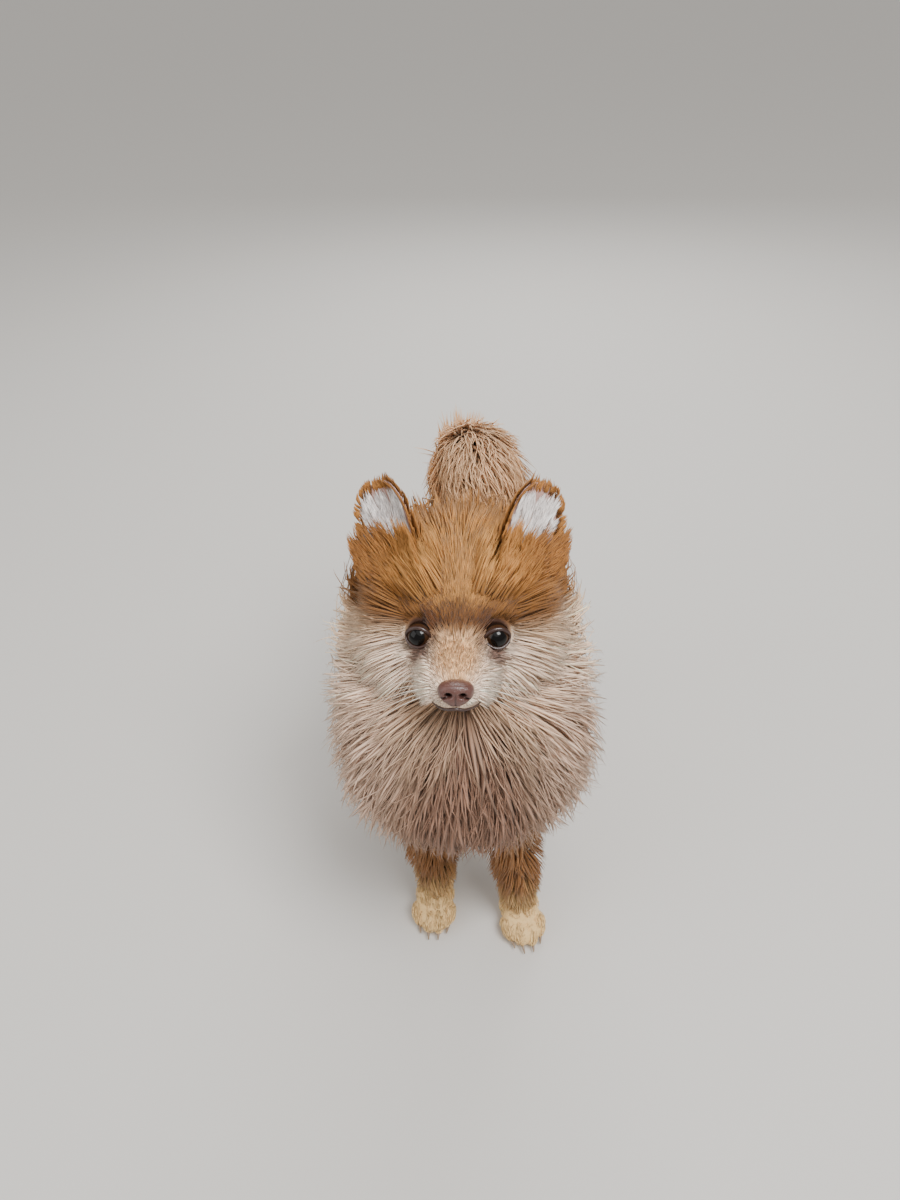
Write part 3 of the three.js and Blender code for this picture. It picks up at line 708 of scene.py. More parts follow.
def by_depth(length, reach, full_depth):
    """Longer tufts where the coat is deeper: their length and the share of the coat that they reach."""
    return lambda points, depth: (length * (0.45 + 0.55 * depth / full_depth), reach + 0 * depth)


def level_growth(length):
    """Tufts of one length that reach the top of the coat."""
    return lambda points, depth: (length + 0 * depth, 1.0 + 0 * depth)


def coat_piece(
    name, form, lie, area, count, growth, width, slot,
    steps=4, start=0.12, bend=0.35, pull=0.4, lock_tone=0.09, tuft_tone=0.09, root_shade=0.6,
    u_range=(0.0, 1.0), v_range=(0.0, 1.0), keep=None, paint_with=paint, lift=None, droop=0.0,
):
    """One piece of the coat: tufts over a form, gathered into locks and painted by their place, darker toward
    their roots as painted shade.
    """
    u, v = spread_roots(form, count, u_range, v_range, keep)
    length, reach = growth(form.at(u, v, 0.0), form.depth(u, v))
    length = length * random.uniform(0.7, 1.2, count)
    reach = reach * random.uniform(0.7, 1.04, count)
    turn = random.normal(0, bend, count)
    if lift is None:
        paths, normals = walk(form, lie, u, v, length, np.full(count, start), reach, turn, steps)
    else:
        paths, normals = flare(form, lie, u, v, length, lift, droop, steps)
    owner = gather(paths, max(8, count // 18), pull)
    corners, triangles, along, strand = blades(paths, normals, width * random.uniform(0.7, 1.25, count))
    each = 3 * steps + 1
    base = paint_with(paths[0] * 0.55 + paths[-1] * 0.45)
    shade = random.normal(0, lock_tone, owner.max() + 1)[owner] + random.normal(0, tuft_tone, count)
    colours = np.repeat(base * np.exp(shade)[:, None], each, axis=0)
    # painted shade: each tuft runs from root_shade of its colour at the root, where the coat shades it, to a
    # little over its colour at the tip
    colours = colours * (root_shade + (1.1 - root_shade) * along**0.7)[:, None]
    uvs = patch_uvs(u, v, area, each, along)
    mesh = tuft_mesh(name, corners, triangles, np.clip(colours, 0, 1), uvs, strand)
    piece = add_piece(name, mesh, FUR)


# Materials
def shader(name, roughness, sheen=0.0, coat=0.0, coat_roughness=0.03, specular=0.5):
    material = bpy.data.materials.new(name)
    material.use_nodes = True
    nodes = material.node_tree.nodes
    surface = nodes["Principled BSDF"]
    surface.inputs["Roughness"].default_value = roughness
    surface.inputs["Sheen Weight"].default_value = sheen
    surface.inputs["Coat Weight"].default_value = coat
    surface.inputs["Coat Roughness"].default_value = coat_roughness
    surface.inputs["Specular IOR Level"].default_value = specular
    return material, nodes, material.node_tree.links, surface


def texture(nodes, links, kind, scale, detail=None):
    """A texture over the object's own space."""
    place = nodes.new("ShaderNodeTexCoord")
    pattern = nodes.new(kind)
    pattern.inputs["Scale"].default_value = scale
    if detail is not None:
        pattern.inputs["Detail"].default_value = detail
    links.new(place.outputs["Object"], pattern.inputs["Vector"])
    return pattern


def attribute(nodes, name):
    node = nodes.new("ShaderNodeAttribute")
    node.attribute_name = name
    return node


def relief(nodes, links, surface, height, strength, distance):
    bump = nodes.new("ShaderNodeBump")
    bump.inputs["Strength"].default_value = strength
    bump.inputs["Distance"].default_value = distance
    links.new(height, bump.inputs["Height"])
    links.new(bump.outputs["Normal"], surface.inputs["Normal"])


def mixed(nodes, links, second, share):
    """A mix toward a second colour: the socket of its first colour, and its result."""
    mix = nodes.new("ShaderNodeMix")
    mix.data_type = "RGBA"
    mix.inputs["B"].default_value = (*second, 1)
    links.new(share, mix.inputs["Factor"])
    return mix.inputs["A"], mix.outputs["Result"]


def coat_material(name, strands):
    """Fur from the painted colours, with fine hairs along each tuft or over the skin."""
    material, nodes, links, surface = shader(name, 0.6, sheen=0.08, specular=0.2)
    tint = nodes.new("ShaderNodeVertexColor")
    tint.layer_name = "Coat"
    if strands:
        lengthen = nodes.new("ShaderNodeVectorMath")
        lengthen.operation = "MULTIPLY"
        lengthen.inputs[1].default_value = (3.2, 0.16, 1.0)
        links.new(attribute(nodes, "Strand").outputs["Vector"], lengthen.inputs[0])
        grain = nodes.new("ShaderNodeTexNoise")
        grain.inputs["Scale"].default_value = 1.0
        grain.inputs["Detail"].default_value = 2.0
        links.new(lengthen.outputs["Vector"], grain.inputs["Vector"])
    else:
        grain = texture(nodes, links, "ShaderNodeTexNoise", 1600, 4.0)
    vary = nodes.new("ShaderNodeMapRange")
    vary.inputs["From Min"].default_value = 0.25
    vary.inputs["From Max"].default_value = 0.75
    vary.inputs["To Min"].default_value = 0.74 if strands else 0.88
    vary.inputs["To Max"].default_value = 1.24 if strands else 1.1
    links.new(grain.outputs["Fac"], vary.inputs["Value"])
    scaled = nodes.new("ShaderNodeVectorMath")
    scaled.operation = "SCALE"
    links.new(tint.outputs["Color"], scaled.inputs[0])
    links.new(vary.outputs["Result"], scaled.inputs["Scale"])
    links.new(scaled.outputs["Vector"], surface.inputs["Base Color"])
    relief(nodes, links, surface, grain.outputs["Fac"], 0.5, 0.0003)
    return material


def plain_material(name, colour, other, scale, roughness, cells=None, hollows=None, **looks):
    """Two colours mixed by noise, with a fine relief of cells, and painted shade: darker where hollows are
    deep.

    Cells are a scale, a strength and a distance. Hollows name the mesh's values of how deep it is.
    """
    material, nodes, links, surface = shader(name, roughness, **looks)
    patches = texture(nodes, links, "ShaderNodeTexNoise", scale, 3.0)
    first, result = mixed(nodes, links, other, patches.outputs["Fac"])
    first.default_value = (*colour, 1)
    # painted shade: darker toward near-black where the hollow is deep
    if hollows:
        first, darker = mixed(nodes, links, HOLLOW_PAINTED_SHADE, attribute(nodes, hollows).outputs["Fac"])
        links.new(result, first)
        result = darker
    links.new(result, surface.inputs["Base Color"])
    if cells:
        grain = texture(nodes, links, "ShaderNodeTexVoronoi", cells[0])
        relief(nodes, links, surface, grain.outputs["Distance"], *cells[1:])
    return material


SKIN = coat_material("skin_fur", strands=False)
FUR = coat_material("coat_fur", strands=True)
LID_SKIN = plain_material(
    "lid_skin", srgb(36, 22, 18), srgb(66, 40, 32), 700, 0.35, (2100, 0.3, 0.0002), coat=0.3
)
# painted shade in the nostrils and the groove, by the mesh's Deep values
NOSE_LEATHER = plain_material(
    "nose_leather", srgb(74, 44, 38), srgb(102, 66, 58), 260, 0.34, (1500, 0.5, 0.0003), "Deep",
    coat=0.35, coat_roughness=0.2,
)
WHISKER = plain_material("whisker", srgb(226, 214, 196), srgb(250, 244, 232), 300, 0.4)
CLAW_HORN = plain_material("claw_horn", srgb(112, 90, 70), srgb(160, 136, 110), 400, 0.4, (1200, 0.2, 0.0002))


# The ear: a cupped leaf, as in the solids
EAR = {"base": (29, 14, 17), "height": 58, "half_width": 16, "cup": 9, "thick": 3.2, "lean": 14, "turn": 24}
EAR_TIP = 2.6


def turn_matrix(x=0.0, y=0.0, z=0.0):
    return np.array(Euler([math.radians(a) for a in (x, y, z)], "XYZ").to_matrix())


def ear_turn(side):
    return turn_matrix(y=side * EAR["lean"]) @ turn_matrix(z=side * EAR["turn"]) @ turn_matrix(x=-6)


def ear_base(side):
    x, y, z = EAR["base"]
    return np.array([side * x, y, z])


def ear_narrow(t, least=0.0):
    """The ear's half width at a height, as a share of its widest."""
    return np.sqrt(np.clip(1 - np.clip((t - 0.35) / 0.65, 0, 1) ** EAR_TIP, least, 1))


def ear_cup(s, t):
    return EAR["cup"] * (1 - 0.45 * t) * (1 - s * s)


def ear_point(side, s, t, out):
    """A point of the ear in the dog's frame: s across, t up, out from its middle sheet."""
    local = columns(s * EAR["half_width"] * ear_narrow(t), ear_cup(s, t) + out, t * EAR["height"])
    return head_to_body(local @ ear_turn(side).T + ear_base(side))


def ear_local(side, points):
    """Points of the dog's frame in the ear's own: across, out to the back and up it."""
    return (body_to_head(points) - ear_base(side)) @ ear_turn(side)


class EarForm:
    """One face of an ear as a form, where tufts can walk: u runs up it and v across."""

    def __init__(self, side, face, depth):
        self.side = side
        self.face = face
        self.coat = depth

    def at(self, u, v, share):
        out = self.face * (EAR["thick"] * (1 - 0.4 * u) * 0.4 + share * self.coat)
        return ear_point(self.side, np.clip(2 * v - 1, -1.12, 1.12), np.clip(u, 0, 0.995), out)

    def depth(self, u, v):
        return self.coat + 0 * u

    def lie(self, p, u):
        across = ear_local(self.side, p)[:, 0] / EAR["half_width"]
        return columns(0.6 * across, 0, 1) @ (HEAD_TURN @ ear_turn(self.side)).T


class HeadForm:
    """The head's form in the dog's frame."""

    def at(self, u, v, share):
        return head_to_body(HEAD.at(u, v, share))

    def depth(self, u, v):
        return HEAD.depth(u, v)


TOES = [(-9.5, -11, 14), (-3.4, -15.5, 5), (3.4, -15.5, -5), (9.5, -11, -14)]


def paw_place(kind, side, points):
    x, y = PAWS[kind][side]
    return points @ turn_matrix(z=PAW_TURNS[kind][side]).T + np.array([x, y, 0])


def sphere(u, v):
    """A unit ball as a function of u and v."""
    polar, angle = np.pi * u, 2 * np.pi * v
    return columns(np.sin(polar) * np.cos(angle), np.sin(polar) * np.sin(angle), np.cos(polar))


class BallForm:
    """A toe or a palm as a form."""

    def __init__(self, kind, side, centre, radii, turn, depth):
        self.paw = (kind, side)
        self.centre = np.asarray(centre)
        self.radii = np.asarray(radii)
        self.turn = turn
        self.coat = depth

    def at(self, u, v, share):
        radii = self.radii + np.broadcast_to(share, u.shape)[:, None] * self.coat
        return paw_place(*self.paw, (sphere(u, v) * radii) @ turn_matrix(z=self.turn).T + self.centre)

    def depth(self, u, v):
        return self.coat + 0 * u


# The skin: the forms without their coat, joined into one surface
def loft_arrays(point, along, around):
    """Corners and faces of a closed surface from a function of u and v."""
    rings = [point(np.full(around, i / along), np.arange(around) / around) for i in range(1, along)]
    first = point(np.array([1e-6]), np.array([0.0]))
    last = point(np.array([1 - 1e-6]), np.array([0.0]))
    corners = np.concatenate([first, *rings, last])
    faces = []
    for j in range(around):
        k = (j + 1) % around
        faces.append((0, 1 + j, 1 + k))
        for i in range(along - 2):
            a, b = 1 + i * around + j, 1 + i * around + k
            faces.append((a, a + around, b + around, b))
        end = 1 + (along - 2) * around
        faces.append((end + j, len(corners) - 1, end + k))
    return corners, faces


def paw_balls(kind, side, depth=0.0):
    """A paw's palm and four toes as forms, under a coat of this depth."""
    yield BallForm(kind, side, (0, 2, 10.5), (12, 14.5, 11), 0.0, depth)
    for x, y, turn in TOES:
        yield BallForm(kind, side, (x * 0.95, y + 0.5, 7), (4.6, 8.4, 7), turn, depth)


def skin_parts():
    """Closed surfaces that together make the skin, in the dog's frame."""

    def bare(form):
        return lambda u, v: form.at(u, v, 0.0)

    yield loft_arrays(bare(TORSO), 40, 48)
    yield loft_arrays(bare(NECK), 40, 48)
    yield loft_arrays(lambda u, v: HeadForm().at(u, v, 0.15), 60, 56)
    yield loft_arrays(bare(TAIL_BASE), 16, 20)
    yield loft_arrays(bare(PLUME), 24, 20)
    for side in SIDES:
        for form in (foreleg_form(side), thigh_form(side), hock_form(side)):
            yield loft_arrays(bare(form), 30, 28)

        def ear(u, v, side=side):
            across = np.cos(2 * np.pi * v) * np.minimum(1, np.sqrt(np.clip(u * 12, 0, 1)))
            out = np.sin(2 * np.pi * v) * EAR["thick"] * 0.55 * np.sqrt(np.clip((1 - u) * 14, 0, 1))
            return ear_point(side, across, u, out)

        yield loft_arrays(ear, 30, 28)
        for kind in PAWS:
            for form in paw_balls(kind, side):
                yield loft_arrays(bare(form), 16, 18)


EYE_CENTRES = {side: np.array([side * EYE_GAP / 2, 1.0, 0.0]) for side in SIDES}
MOUTH_POINTS = [
    (0, -38.6, -21.5),
    (4.5, -37, -22.5),
    (9, -32, -23),
    (12, -26, -22.6),
    (13.6, -17, -21.5),
    (15, -9, -20),
]


def mouth_line(count=60):
    """The closed mouth from its front to each corner, in the head's frame."""
    half = table_row(MOUTH_POINTS, np.linspace(0, 1, count))
    return np.concatenate([half[:0:-1] * [-1, 1, 1], half])


def shape_face(corners):
    """Sockets round the eyes, the stop between them, and the groove of the mouth."""
    local = body_to_head(corners)
    for centre in EYE_CENTRES.values():
        distance = np.linalg.norm(local - centre, axis=1)
        local[:, 1] += 1.6 * np.exp(-((distance / 9.5) ** 2)) * (local[:, 1] < 4)
    line = mouth_line()
    face = np.flatnonzero((local[:, 1] < 0) & (np.abs(local[:, 0]) < 24) & (local[:, 2] < -14))
    gap = gaps(local[face], line)
    close = gap.argmin(axis=1)
    depth = 1.5 * np.exp(-((gap.min(axis=1) / 1.6) ** 2))
    inward = unit(([0, -14, -15] - line[close]) * [1, 0.3, 1])
    local[face] += inward * depth[:, None]
    corners = head_to_body(local)
    corners[:, 2] = np.maximum(corners[:, 2], 0.4)
    return corners


def ear_shares(corners):
    """How far up an ear, and how much on its inner face, each point of the skin is."""
    up = np.zeros(len(corners))
    inner = np.zeros(len(corners))
    for side in SIDES:
        x, y, z = ear_local(side, corners).T
        s, t = x / EAR["half_width"], z / EAR["height"]
        on_ear = (np.abs(s) < 1.3) & (t < 1.1) & (y > -6) & (y < 14)
        share = smooth(t, 0.2, 0.35) * on_ear
        up = np.maximum(up, share)
        inner = np.maximum(inner, share * (y < ear_cup(s, t)) * (1 - smooth(np.abs(s), 0.72, 0.92)))
    return up, inner


def make_skin():
    everything, faces, offset = [], [], 0
    for corners, part in skin_parts():
        everything.append(corners)
        faces += [tuple(k + offset for k in face) for face in part]
        offset += len(corners)
    mesh = bpy.data.meshes.new("skin")
    mesh.from_pydata((np.concatenate(everything) * MM).tolist(), [], faces)
    skin = add_object("skin", mesh)
    bpy.context.view_layer.objects.active = skin
    remesh = skin.modifiers.new("join", "REMESH")
    remesh.mode = "VOXEL"
    remesh.voxel_size = SKIN_VOXEL * MM
    remesh.use_smooth_shade = True
    ease = skin.modifiers.new("ease", "SMOOTH")
    ease.iterations = 3
    for name in ("join", "ease"):
        bpy.ops.object.modifier_apply(modifier=name)
    mesh = skin.data
    corners = np.empty(len(mesh.vertices) * 3)
    mesh.vertices.foreach_get("co", corners)
    corners = shape_face(corners.reshape(-1, 3) / MM)
    mesh.vertices.foreach_set("co", metres(corners).astype(np.float32).ravel())
    local = body_to_head(corners)
    up, inner = ear_shares(corners)
    lips = gaps(local, mouth_line(24)).min(axis=1)
    marks = [(ORANGE, up), (EAR_PINK, inner), (LIP_DARK, 1 - smooth(lips, 0.8, 2.0))]
    for centre in EYE_CENTRES.values():
        away = np.linalg.norm(local - centre, axis=1)
        marks.append((LIP_DARK, 0.9 * (1 - smooth(away, 7.5, 9.5))))
    paint_mesh(mesh, layered(paint(corners), marks))
    mesh.update()
    skin.data.materials.append(SKIN)
    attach(skin, "root")
    flesh = [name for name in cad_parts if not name.startswith(("eye_", "nose"))]
    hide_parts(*flesh)


make_skin()


# The coat
def clear_of_face(p):
    """Roots of the face's tufts stay off the eyes, the nose and the mouth."""
    local = body_to_head(p)
    clear = np.ones(len(p), bool)
    for centre in EYE_CENTRES.values():
        clear &= np.linalg.norm((local - centre) / [8.6, 9, 8.0], axis=1) > 1
    clear &= np.linalg.norm((local - [0, -38, -14]) / [9.0, 7, 7.8], axis=1) > 1
    return clear & (gaps(local, mouth_line(16)).min(axis=1) > 1.3)


def outside_head(p):
    local = body_to_head(p)
    away = (local - [0, 24, -2]) / [34, 40, 34]
    return (away**2).sum(axis=1) > 0.9


def outside_neck(p):
    return (p[:, 1] > 36) | (p[:, 2] < 112)


def head_growth(points, depth):
    """Short on the muzzle, longer on the brow, and long on the crown and the cheeks."""
    x, y, z = body_to_head(points).T
    back = smooth(y, -4, 18)
    cheek = smooth(y, -8, 10) * (1 - smooth(z, -6, 8))
    crown = smooth(y, 4, 20) * smooth(z, 4, 18)
    length = 6.2 + back * (8 + 7 * crown) + 22 * cheek
    height = 1.6 + 1.4 * smooth(z, 2, 9) + back * (5 + 11 * crown) + 12 * cheek
    return length, height / np.maximum(depth, 2)


def plume_growth(points, depth):
    """Longer under the tail, where the hair hangs down to the back."""
    under = smooth(245 - points[:, 2], -2, 5) * (1 - smooth(points[:, 1], 150, 185))
    return by_depth(50, 0.86 + 0.85 * under, 28)(points, depth)


def pad_roots(p):
    return in_box(mirrored(body_to_head(p)), [8, -32, -27], [99, 2, -7]) & clear_of_face(p)


def in_box(points, low, high):
    return ((points > low) & (points < high)).all(axis=1)


def cheek_roots(p):
    q = mirrored(body_to_head(p))
    return in_box(q, [-1, -3, -30], [99, 22, 6]) & ((q[:, 0] > 20) | (q[:, 2] < -14)) & clear_of_face(p)


def temple_roots(p):
    return in_box(mirrored(body_to_head(p)), [24, 0, -3], [99, 36, 20]) & clear_of_face(p)


def before_ear(side, p):
    """Roots on the head round the inner side and the front of an ear."""
    return in_box(body_to_head(p) * [side, 1, 1], [6, 2, 12], [36, 34, 99])


def ear_rim(side, p):
    """Roots along an ear's edge and at its tip."""
    x, _, z = ear_local(side, p).T
    t = z / EAR["height"]
    return (np.abs(x) / (EAR["half_width"] * ear_narrow(t, 0.01)) > 0.84) | (t > 0.86)


def leg_growth(points, depth):
    high = smooth(points[:, 2], 25, 80)
    return 10 + 12 * high, 1.5 + 0.8 * high


MAP = {
    "neck": (0.01, 0.01, 0.48, 0.38),
    "torso": (0.51, 0.01, 0.48, 0.28),
    "head": (0.01, 0.41, 0.48, 0.38),
    "base": (0.51, 0.31, 0.2, 0.12),
    "plume": (0.73, 0.31, 0.26, 0.16),
    "thigh": (0.51, 0.49, 0.22, 0.14),
    "foreleg": (0.51, 0.65, 0.22, 0.12),
    "hock": (0.51, 0.79, 0.22, 0.1),
    "paw": (0.75, 0.49, 0.23, 0.2),
    "ear": (0.01, 0.81, 0.2, 0.17),
}


def side_area(name, side):
    """Each side of the body has its own half of an area of the map."""
    x0, y0, wide, high = MAP[name]
    half = wide / 2 - 0.005
    return (x0 if side > 0 else x0 + wide / 2 + 0.005, y0, half, high)


def paw_area(kind, side, number):
    """Each ball of each paw has its own cell of the paws' area of the map."""
    x0, y0, wide, high = MAP["paw"]
    column = 2 * list(PAWS).index(kind) + list(SIDES).index(side)
    return (x0 + column * wide / 4, y0 + number * high / 5, wide / 4 - 0.006, high / 5 - 0.006)


def make_long_coat():
    for name, count, growth, width, looks in (
        ("ruff_base", 2600, by_depth(46, 0.62, 36), 6.0, {"steps": 3, "pull": 0.0}),
        ("ruff_under", 5000, by_depth(50, 1.0, 36), 3.2, {"pull": 0.05}),
        ("ruff_outer", 7600, by_depth(50, 1.0, 36), 1.4, {"start": 0.25, "bend": 0.5, "pull": 0.22}),
        ("ruff_wisps", 7400, by_depth(52, 1.06, 36), 0.8, {"start": 0.4, "bend": 0.85}),
    ):
        looks |= {"keep": outside_head, "root_shade": 0.85}
        coat_piece(name, NECK, ruff_lie, MAP["neck"], count, growth, width, "ruff", **looks)
    growth = by_depth(46, 1.0, 24)
    for name, count, width, start in (("body_under", 3900, 2.0, 0.12), ("body_outer", 5600, 1.3, 0.3)):
        looks = {"start": start, "steps": 3, "keep": outside_neck}
        coat_piece(name, TORSO, back_lie, MAP["torso"], count, growth, width, "body_coat", **looks)
    for name, form, area, count, growth, width in (
        ("tail_base_coat", TAIL_BASE, "base", 1000, by_depth(46, 0.95, 26), 1.5),
        ("tail_plume_coat", PLUME, "plume", 3800, plume_growth, 1.4),
    ):
        looks = {"bend": 0.5, "paint_with": paint_tail}
        coat_piece(name, form, tail_lie(form), MAP[area], count, growth, width, "tail_coat", **looks)
    coat_piece(
        "tail_fringe", PLUME, DOWN, MAP["plume"], 1100, level_growth(36), 1.4, "tail_coat", steps=3,
        u_range=(0.22, 0.92), keep=lambda p: p[:, 2] < 244, lift=0.5, droop=0.5, paint_with=paint_tail,
    )
    growth = by_depth(36, 1.0, 20)
    for side, word in SIDES.items():
        area = side_area("thigh", side)
        name = f"thigh_{word}_coat"
        coat_piece(name, thigh_form(side), DOWN, area, 2000, growth, 1.7, "body_coat", steps=3)


def make_head_coat():
    head, area = HeadForm(), MAP["head"]
    coat_piece(
        "face_coat", head, face_lie, area, 10500, head_growth, 0.62, "head_coat", steps=2,
        u_range=(0.42, 1.0), keep=clear_of_face, pull=0.2, bend=0.15, lock_tone=0.05, tuft_tone=0.05,
        root_shade=0.93,
    )
    for name, count, width, start in (("crown_under", 5500, 1.3, 0.1), ("crown_outer", 8000, 0.8, 0.4)):
        coat_piece(
            name, head, face_lie, area, count, head_growth, width, "head_coat", steps=3, u_range=(0.04, 0.6),
            start=start, keep=clear_of_face, pull=0.35, bend=0.25, lock_tone=0.1, tuft_tone=0.05,
            root_shade=0.68,
        )
    words = ("steps", "u_range", "keep", "lift", "droop", "root_shade", "lock_tone")
    for name, lie, count, length, width, *looks in (
        ("pad_fan", pad_lie, 2400, 10.5, 0.8, 2, (0.58, 0.98), pad_roots, 0.5, 0.1, 0.9, 0.04),
        ("cheek_fan", cheek_lie, 2600, 30, 1.0, 3, (0.3, 0.62), cheek_roots, 0.7, 0.12, 0.8, 0.06),
        ("temples", temple_lie, 2000, 26, 1.0, 3, (0.12, 0.56), temple_roots, 0.8, 0.0, 0.8, 0.06),
    ):
        looks = dict(zip(words, looks))
        coat_piece(name, head, lie, area, count, level_growth(length), width, "head_coat", **looks)
    for side, word in SIDES.items():
        make_ear_coat(head, side, word)


def make_ear_coat(head, side, word):
    area = side_area("ear", side)

    def keep_rim(p):
        return ear_rim(side, p)

    def keep_before(p):
        return before_ear(side, p)

    shared = {"steps": 2, "u_range": (0.05, 0.93), "paint_with": paint_ear_back, "root_shade": 0.8}
    inside = {"steps": 2, "u_range": (0.35, 0.75), "v_range": (0.16, 0.84), "paint_with": paint_inner_ear}
    base = {"steps": 3, "u_range": (0.0, 0.34), "start": 0.0, "bend": 0.4, "paint_with": paint_ear_fur}
    for part, form, count, length, width, looks in (
        ("back", EarForm(side, 1, 3.0), 1400, 7.5, 0.9, {"v_range": (0.02, 0.98)} | shared),
        ("rim", EarForm(side, -1, 2.6), 700, 5.5, 0.65, {"keep": keep_rim} | shared),
        ("inside", EarForm(side, -1, 2.6), 700, 11, 0.7, {"root_shade": 0.85} | inside),
        ("front", EarForm(side, -1, 9.0), 900, 20, 1.0, {"root_shade": 0.75} | base),
        ("behind", EarForm(side, 1, 9.0), 900, 20, 1.0, {"root_shade": 0.75} | base),
    ):
        name = f"ear_{part}_{word}"
        coat_piece(name, form, form.lie, area, count, level_growth(length), width, "ears", **looks)
    coat_piece(
        f"ear_brow_{word}", head, toward_ear(side), area, 1100, level_growth(23), 1.0, "head_coat",
        steps=3, u_range=(0.1, 0.5), keep=keep_before, lift=1.5, root_shade=0.75,
    )


def make_leg_coat():
    for side, word in SIDES.items():
        for name, form, count in (("foreleg", foreleg_form(side), 2100), ("hock", hock_form(side), 1100)):
            coat_piece(
                f"{name}_{word}_coat", form, LEG_DOWN, side_area(name, side), count, leg_growth, 1.0,
                "leg_coat", steps=3, root_shade=0.72, bend=0.2, start=0.1,
            )
        for kind in PAWS:
            for number, form in enumerate(paw_balls(kind, side, 1.2)):
                coat_piece(
                    f"paw_{kind}_{word}_{number}", form, OVER_PAW, paw_area(kind, side, number),
                    110 if number else 260, level_growth(4.5), 0.8, "paws", steps=2, u_range=(0.04, 0.6),
                    root_shade=0.85, bend=0.15, keep=lambda p: p[:, 2] > 2.5,
                )


make_long_coat()
make_head_coat()
make_leg_coat()


# Eyes: a dark ball with a deep brown iris, under a clear wet front
def eye_material():
    """Dark in the pupil, deep brown round it and dark again at the iris's edge."""
    material, nodes, links, surface = shader("eye", 0.05, coat=0.25, coat_roughness=0.02, specular=0.15)
    ramp = nodes.new("ShaderNodeValToRGB")
    stops = ramp.color_ramp.elements
    stops[0].position = 0.0
    stops[0].color = (0.002, 0.0015, 0.0015, 1)
    stops[1].position = 1.0
    stops[1].color = (0.03, 0.014, 0.01, 1)
    for place, colour in (
        (0.34, (0.002, 0.0015, 0.0015, 1)),
        (0.4, (0.03, 0.012, 0.005, 1)),
        (0.66, (0.045, 0.02, 0.009, 1)),
        (0.76, (0.004, 0.003, 0.003, 1)),
    ):
        stops.new(place).color = colour
    links.new(attribute(nodes, "Iris").outputs["Fac"], ramp.inputs["Fac"])
    links.new(ramp.outputs["Color"], surface.inputs["Base Color"])
    return material


EYE_LOOK = {side: unit(np.array([[side * 0.22, -1.0, 0.08]]))[0] for side in SIDES}


def make_eyes():
    material = eye_material()
    corners, faces = loft_arrays(sphere, 40, 48)
    for side, word in SIDES.items():
        facing = corners @ EYE_LOOK[side]
        bulge = 1 + EYE_BULGE * smooth(facing, 0.55, 1.0)
        placed = head_to_body(corners * (EYE_RADIUS * bulge)[:, None] + EYE_CENTRES[side])
        angle = np.arccos(np.clip(facing, -1, 1)) / (np.pi / 2)
        piece = add_piece(
            f"eyeball_{word}", form_mesh(f"eyeball_{word}", placed, faces, "Iris", angle), material
        )
        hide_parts(f"eye_{word}")


make_eyes()


def tube(name, points, radii, material):
    """A closed round tube along points in the dog's frame."""
    points = np.asarray(points, float)
    along = unit(np.gradient(points, axis=0))
    side = unit(np.cross(along, [0.0, 0.2, 1.0]))
    over = np.cross(along, side)
    around = 10
    rings = []
    for j in range(around):
        angle = 2 * np.pi * j / around
        sideways = side * (radii * math.cos(angle))[:, None]
        rings.append(points + sideways + over * (radii * math.sin(angle))[:, None])
    corners = np.stack(rings, axis=1).reshape(-1, 3)
    count = len(points)
    faces = [tuple(range(around))[::-1], tuple((count - 1) * around + j for j in range(around))]
    for i in range(count - 1):
        for j in range(around):
            k = (j + 1) % around
            faces.append((i * around + j, i * around + k, (i + 1) * around + k, (i + 1) * around + j))
    return add_piece(name, form_mesh(name, corners, faces), material)


def make_lids():
    """A rim of dark skin round each eye: an upper lid, heavier, and a lower one, meeting at two corners."""
    t = np.linspace(-1, 1, 26)
    arch = np.sqrt(np.clip(1 - t**2, 0, 1))
    wide = np.radians(LID_CORNER) * t
    for side, word in SIDES.items():
        look = EYE_LOOK[side]
        across = unit(np.cross(look[None], [[0, 0, 1.0]]))[0]
        up = np.cross(across, look)
        for part, (high, thick) in LIDS.items():
            tall = np.radians(high) * arch**0.9
            direction = unit(
                look * (np.cos(wide) * np.cos(tall))[:, None]
                + across * np.sin(wide)[:, None]
                + up * (np.sin(tall) * np.cos(wide))[:, None]
            )
            points = EYE_CENTRES[side] + direction * (EYE_RADIUS + LID_GAP)
            radii = thick * (0.45 + 0.55 * arch)
            piece = tube(f"lid_{part}_{word}", head_to_body(points), radii, LID_SKIN)


make_lids()


def make_lips():
    line = mouth_line(28)[12:-12]
    ends = np.abs(np.linspace(-1, 1, len(line)))
    piece = tube("lips", head_to_body(line), LIP_RADIUS * (1 - 0.75 * ends**2), LID_SKIN)


make_lips()


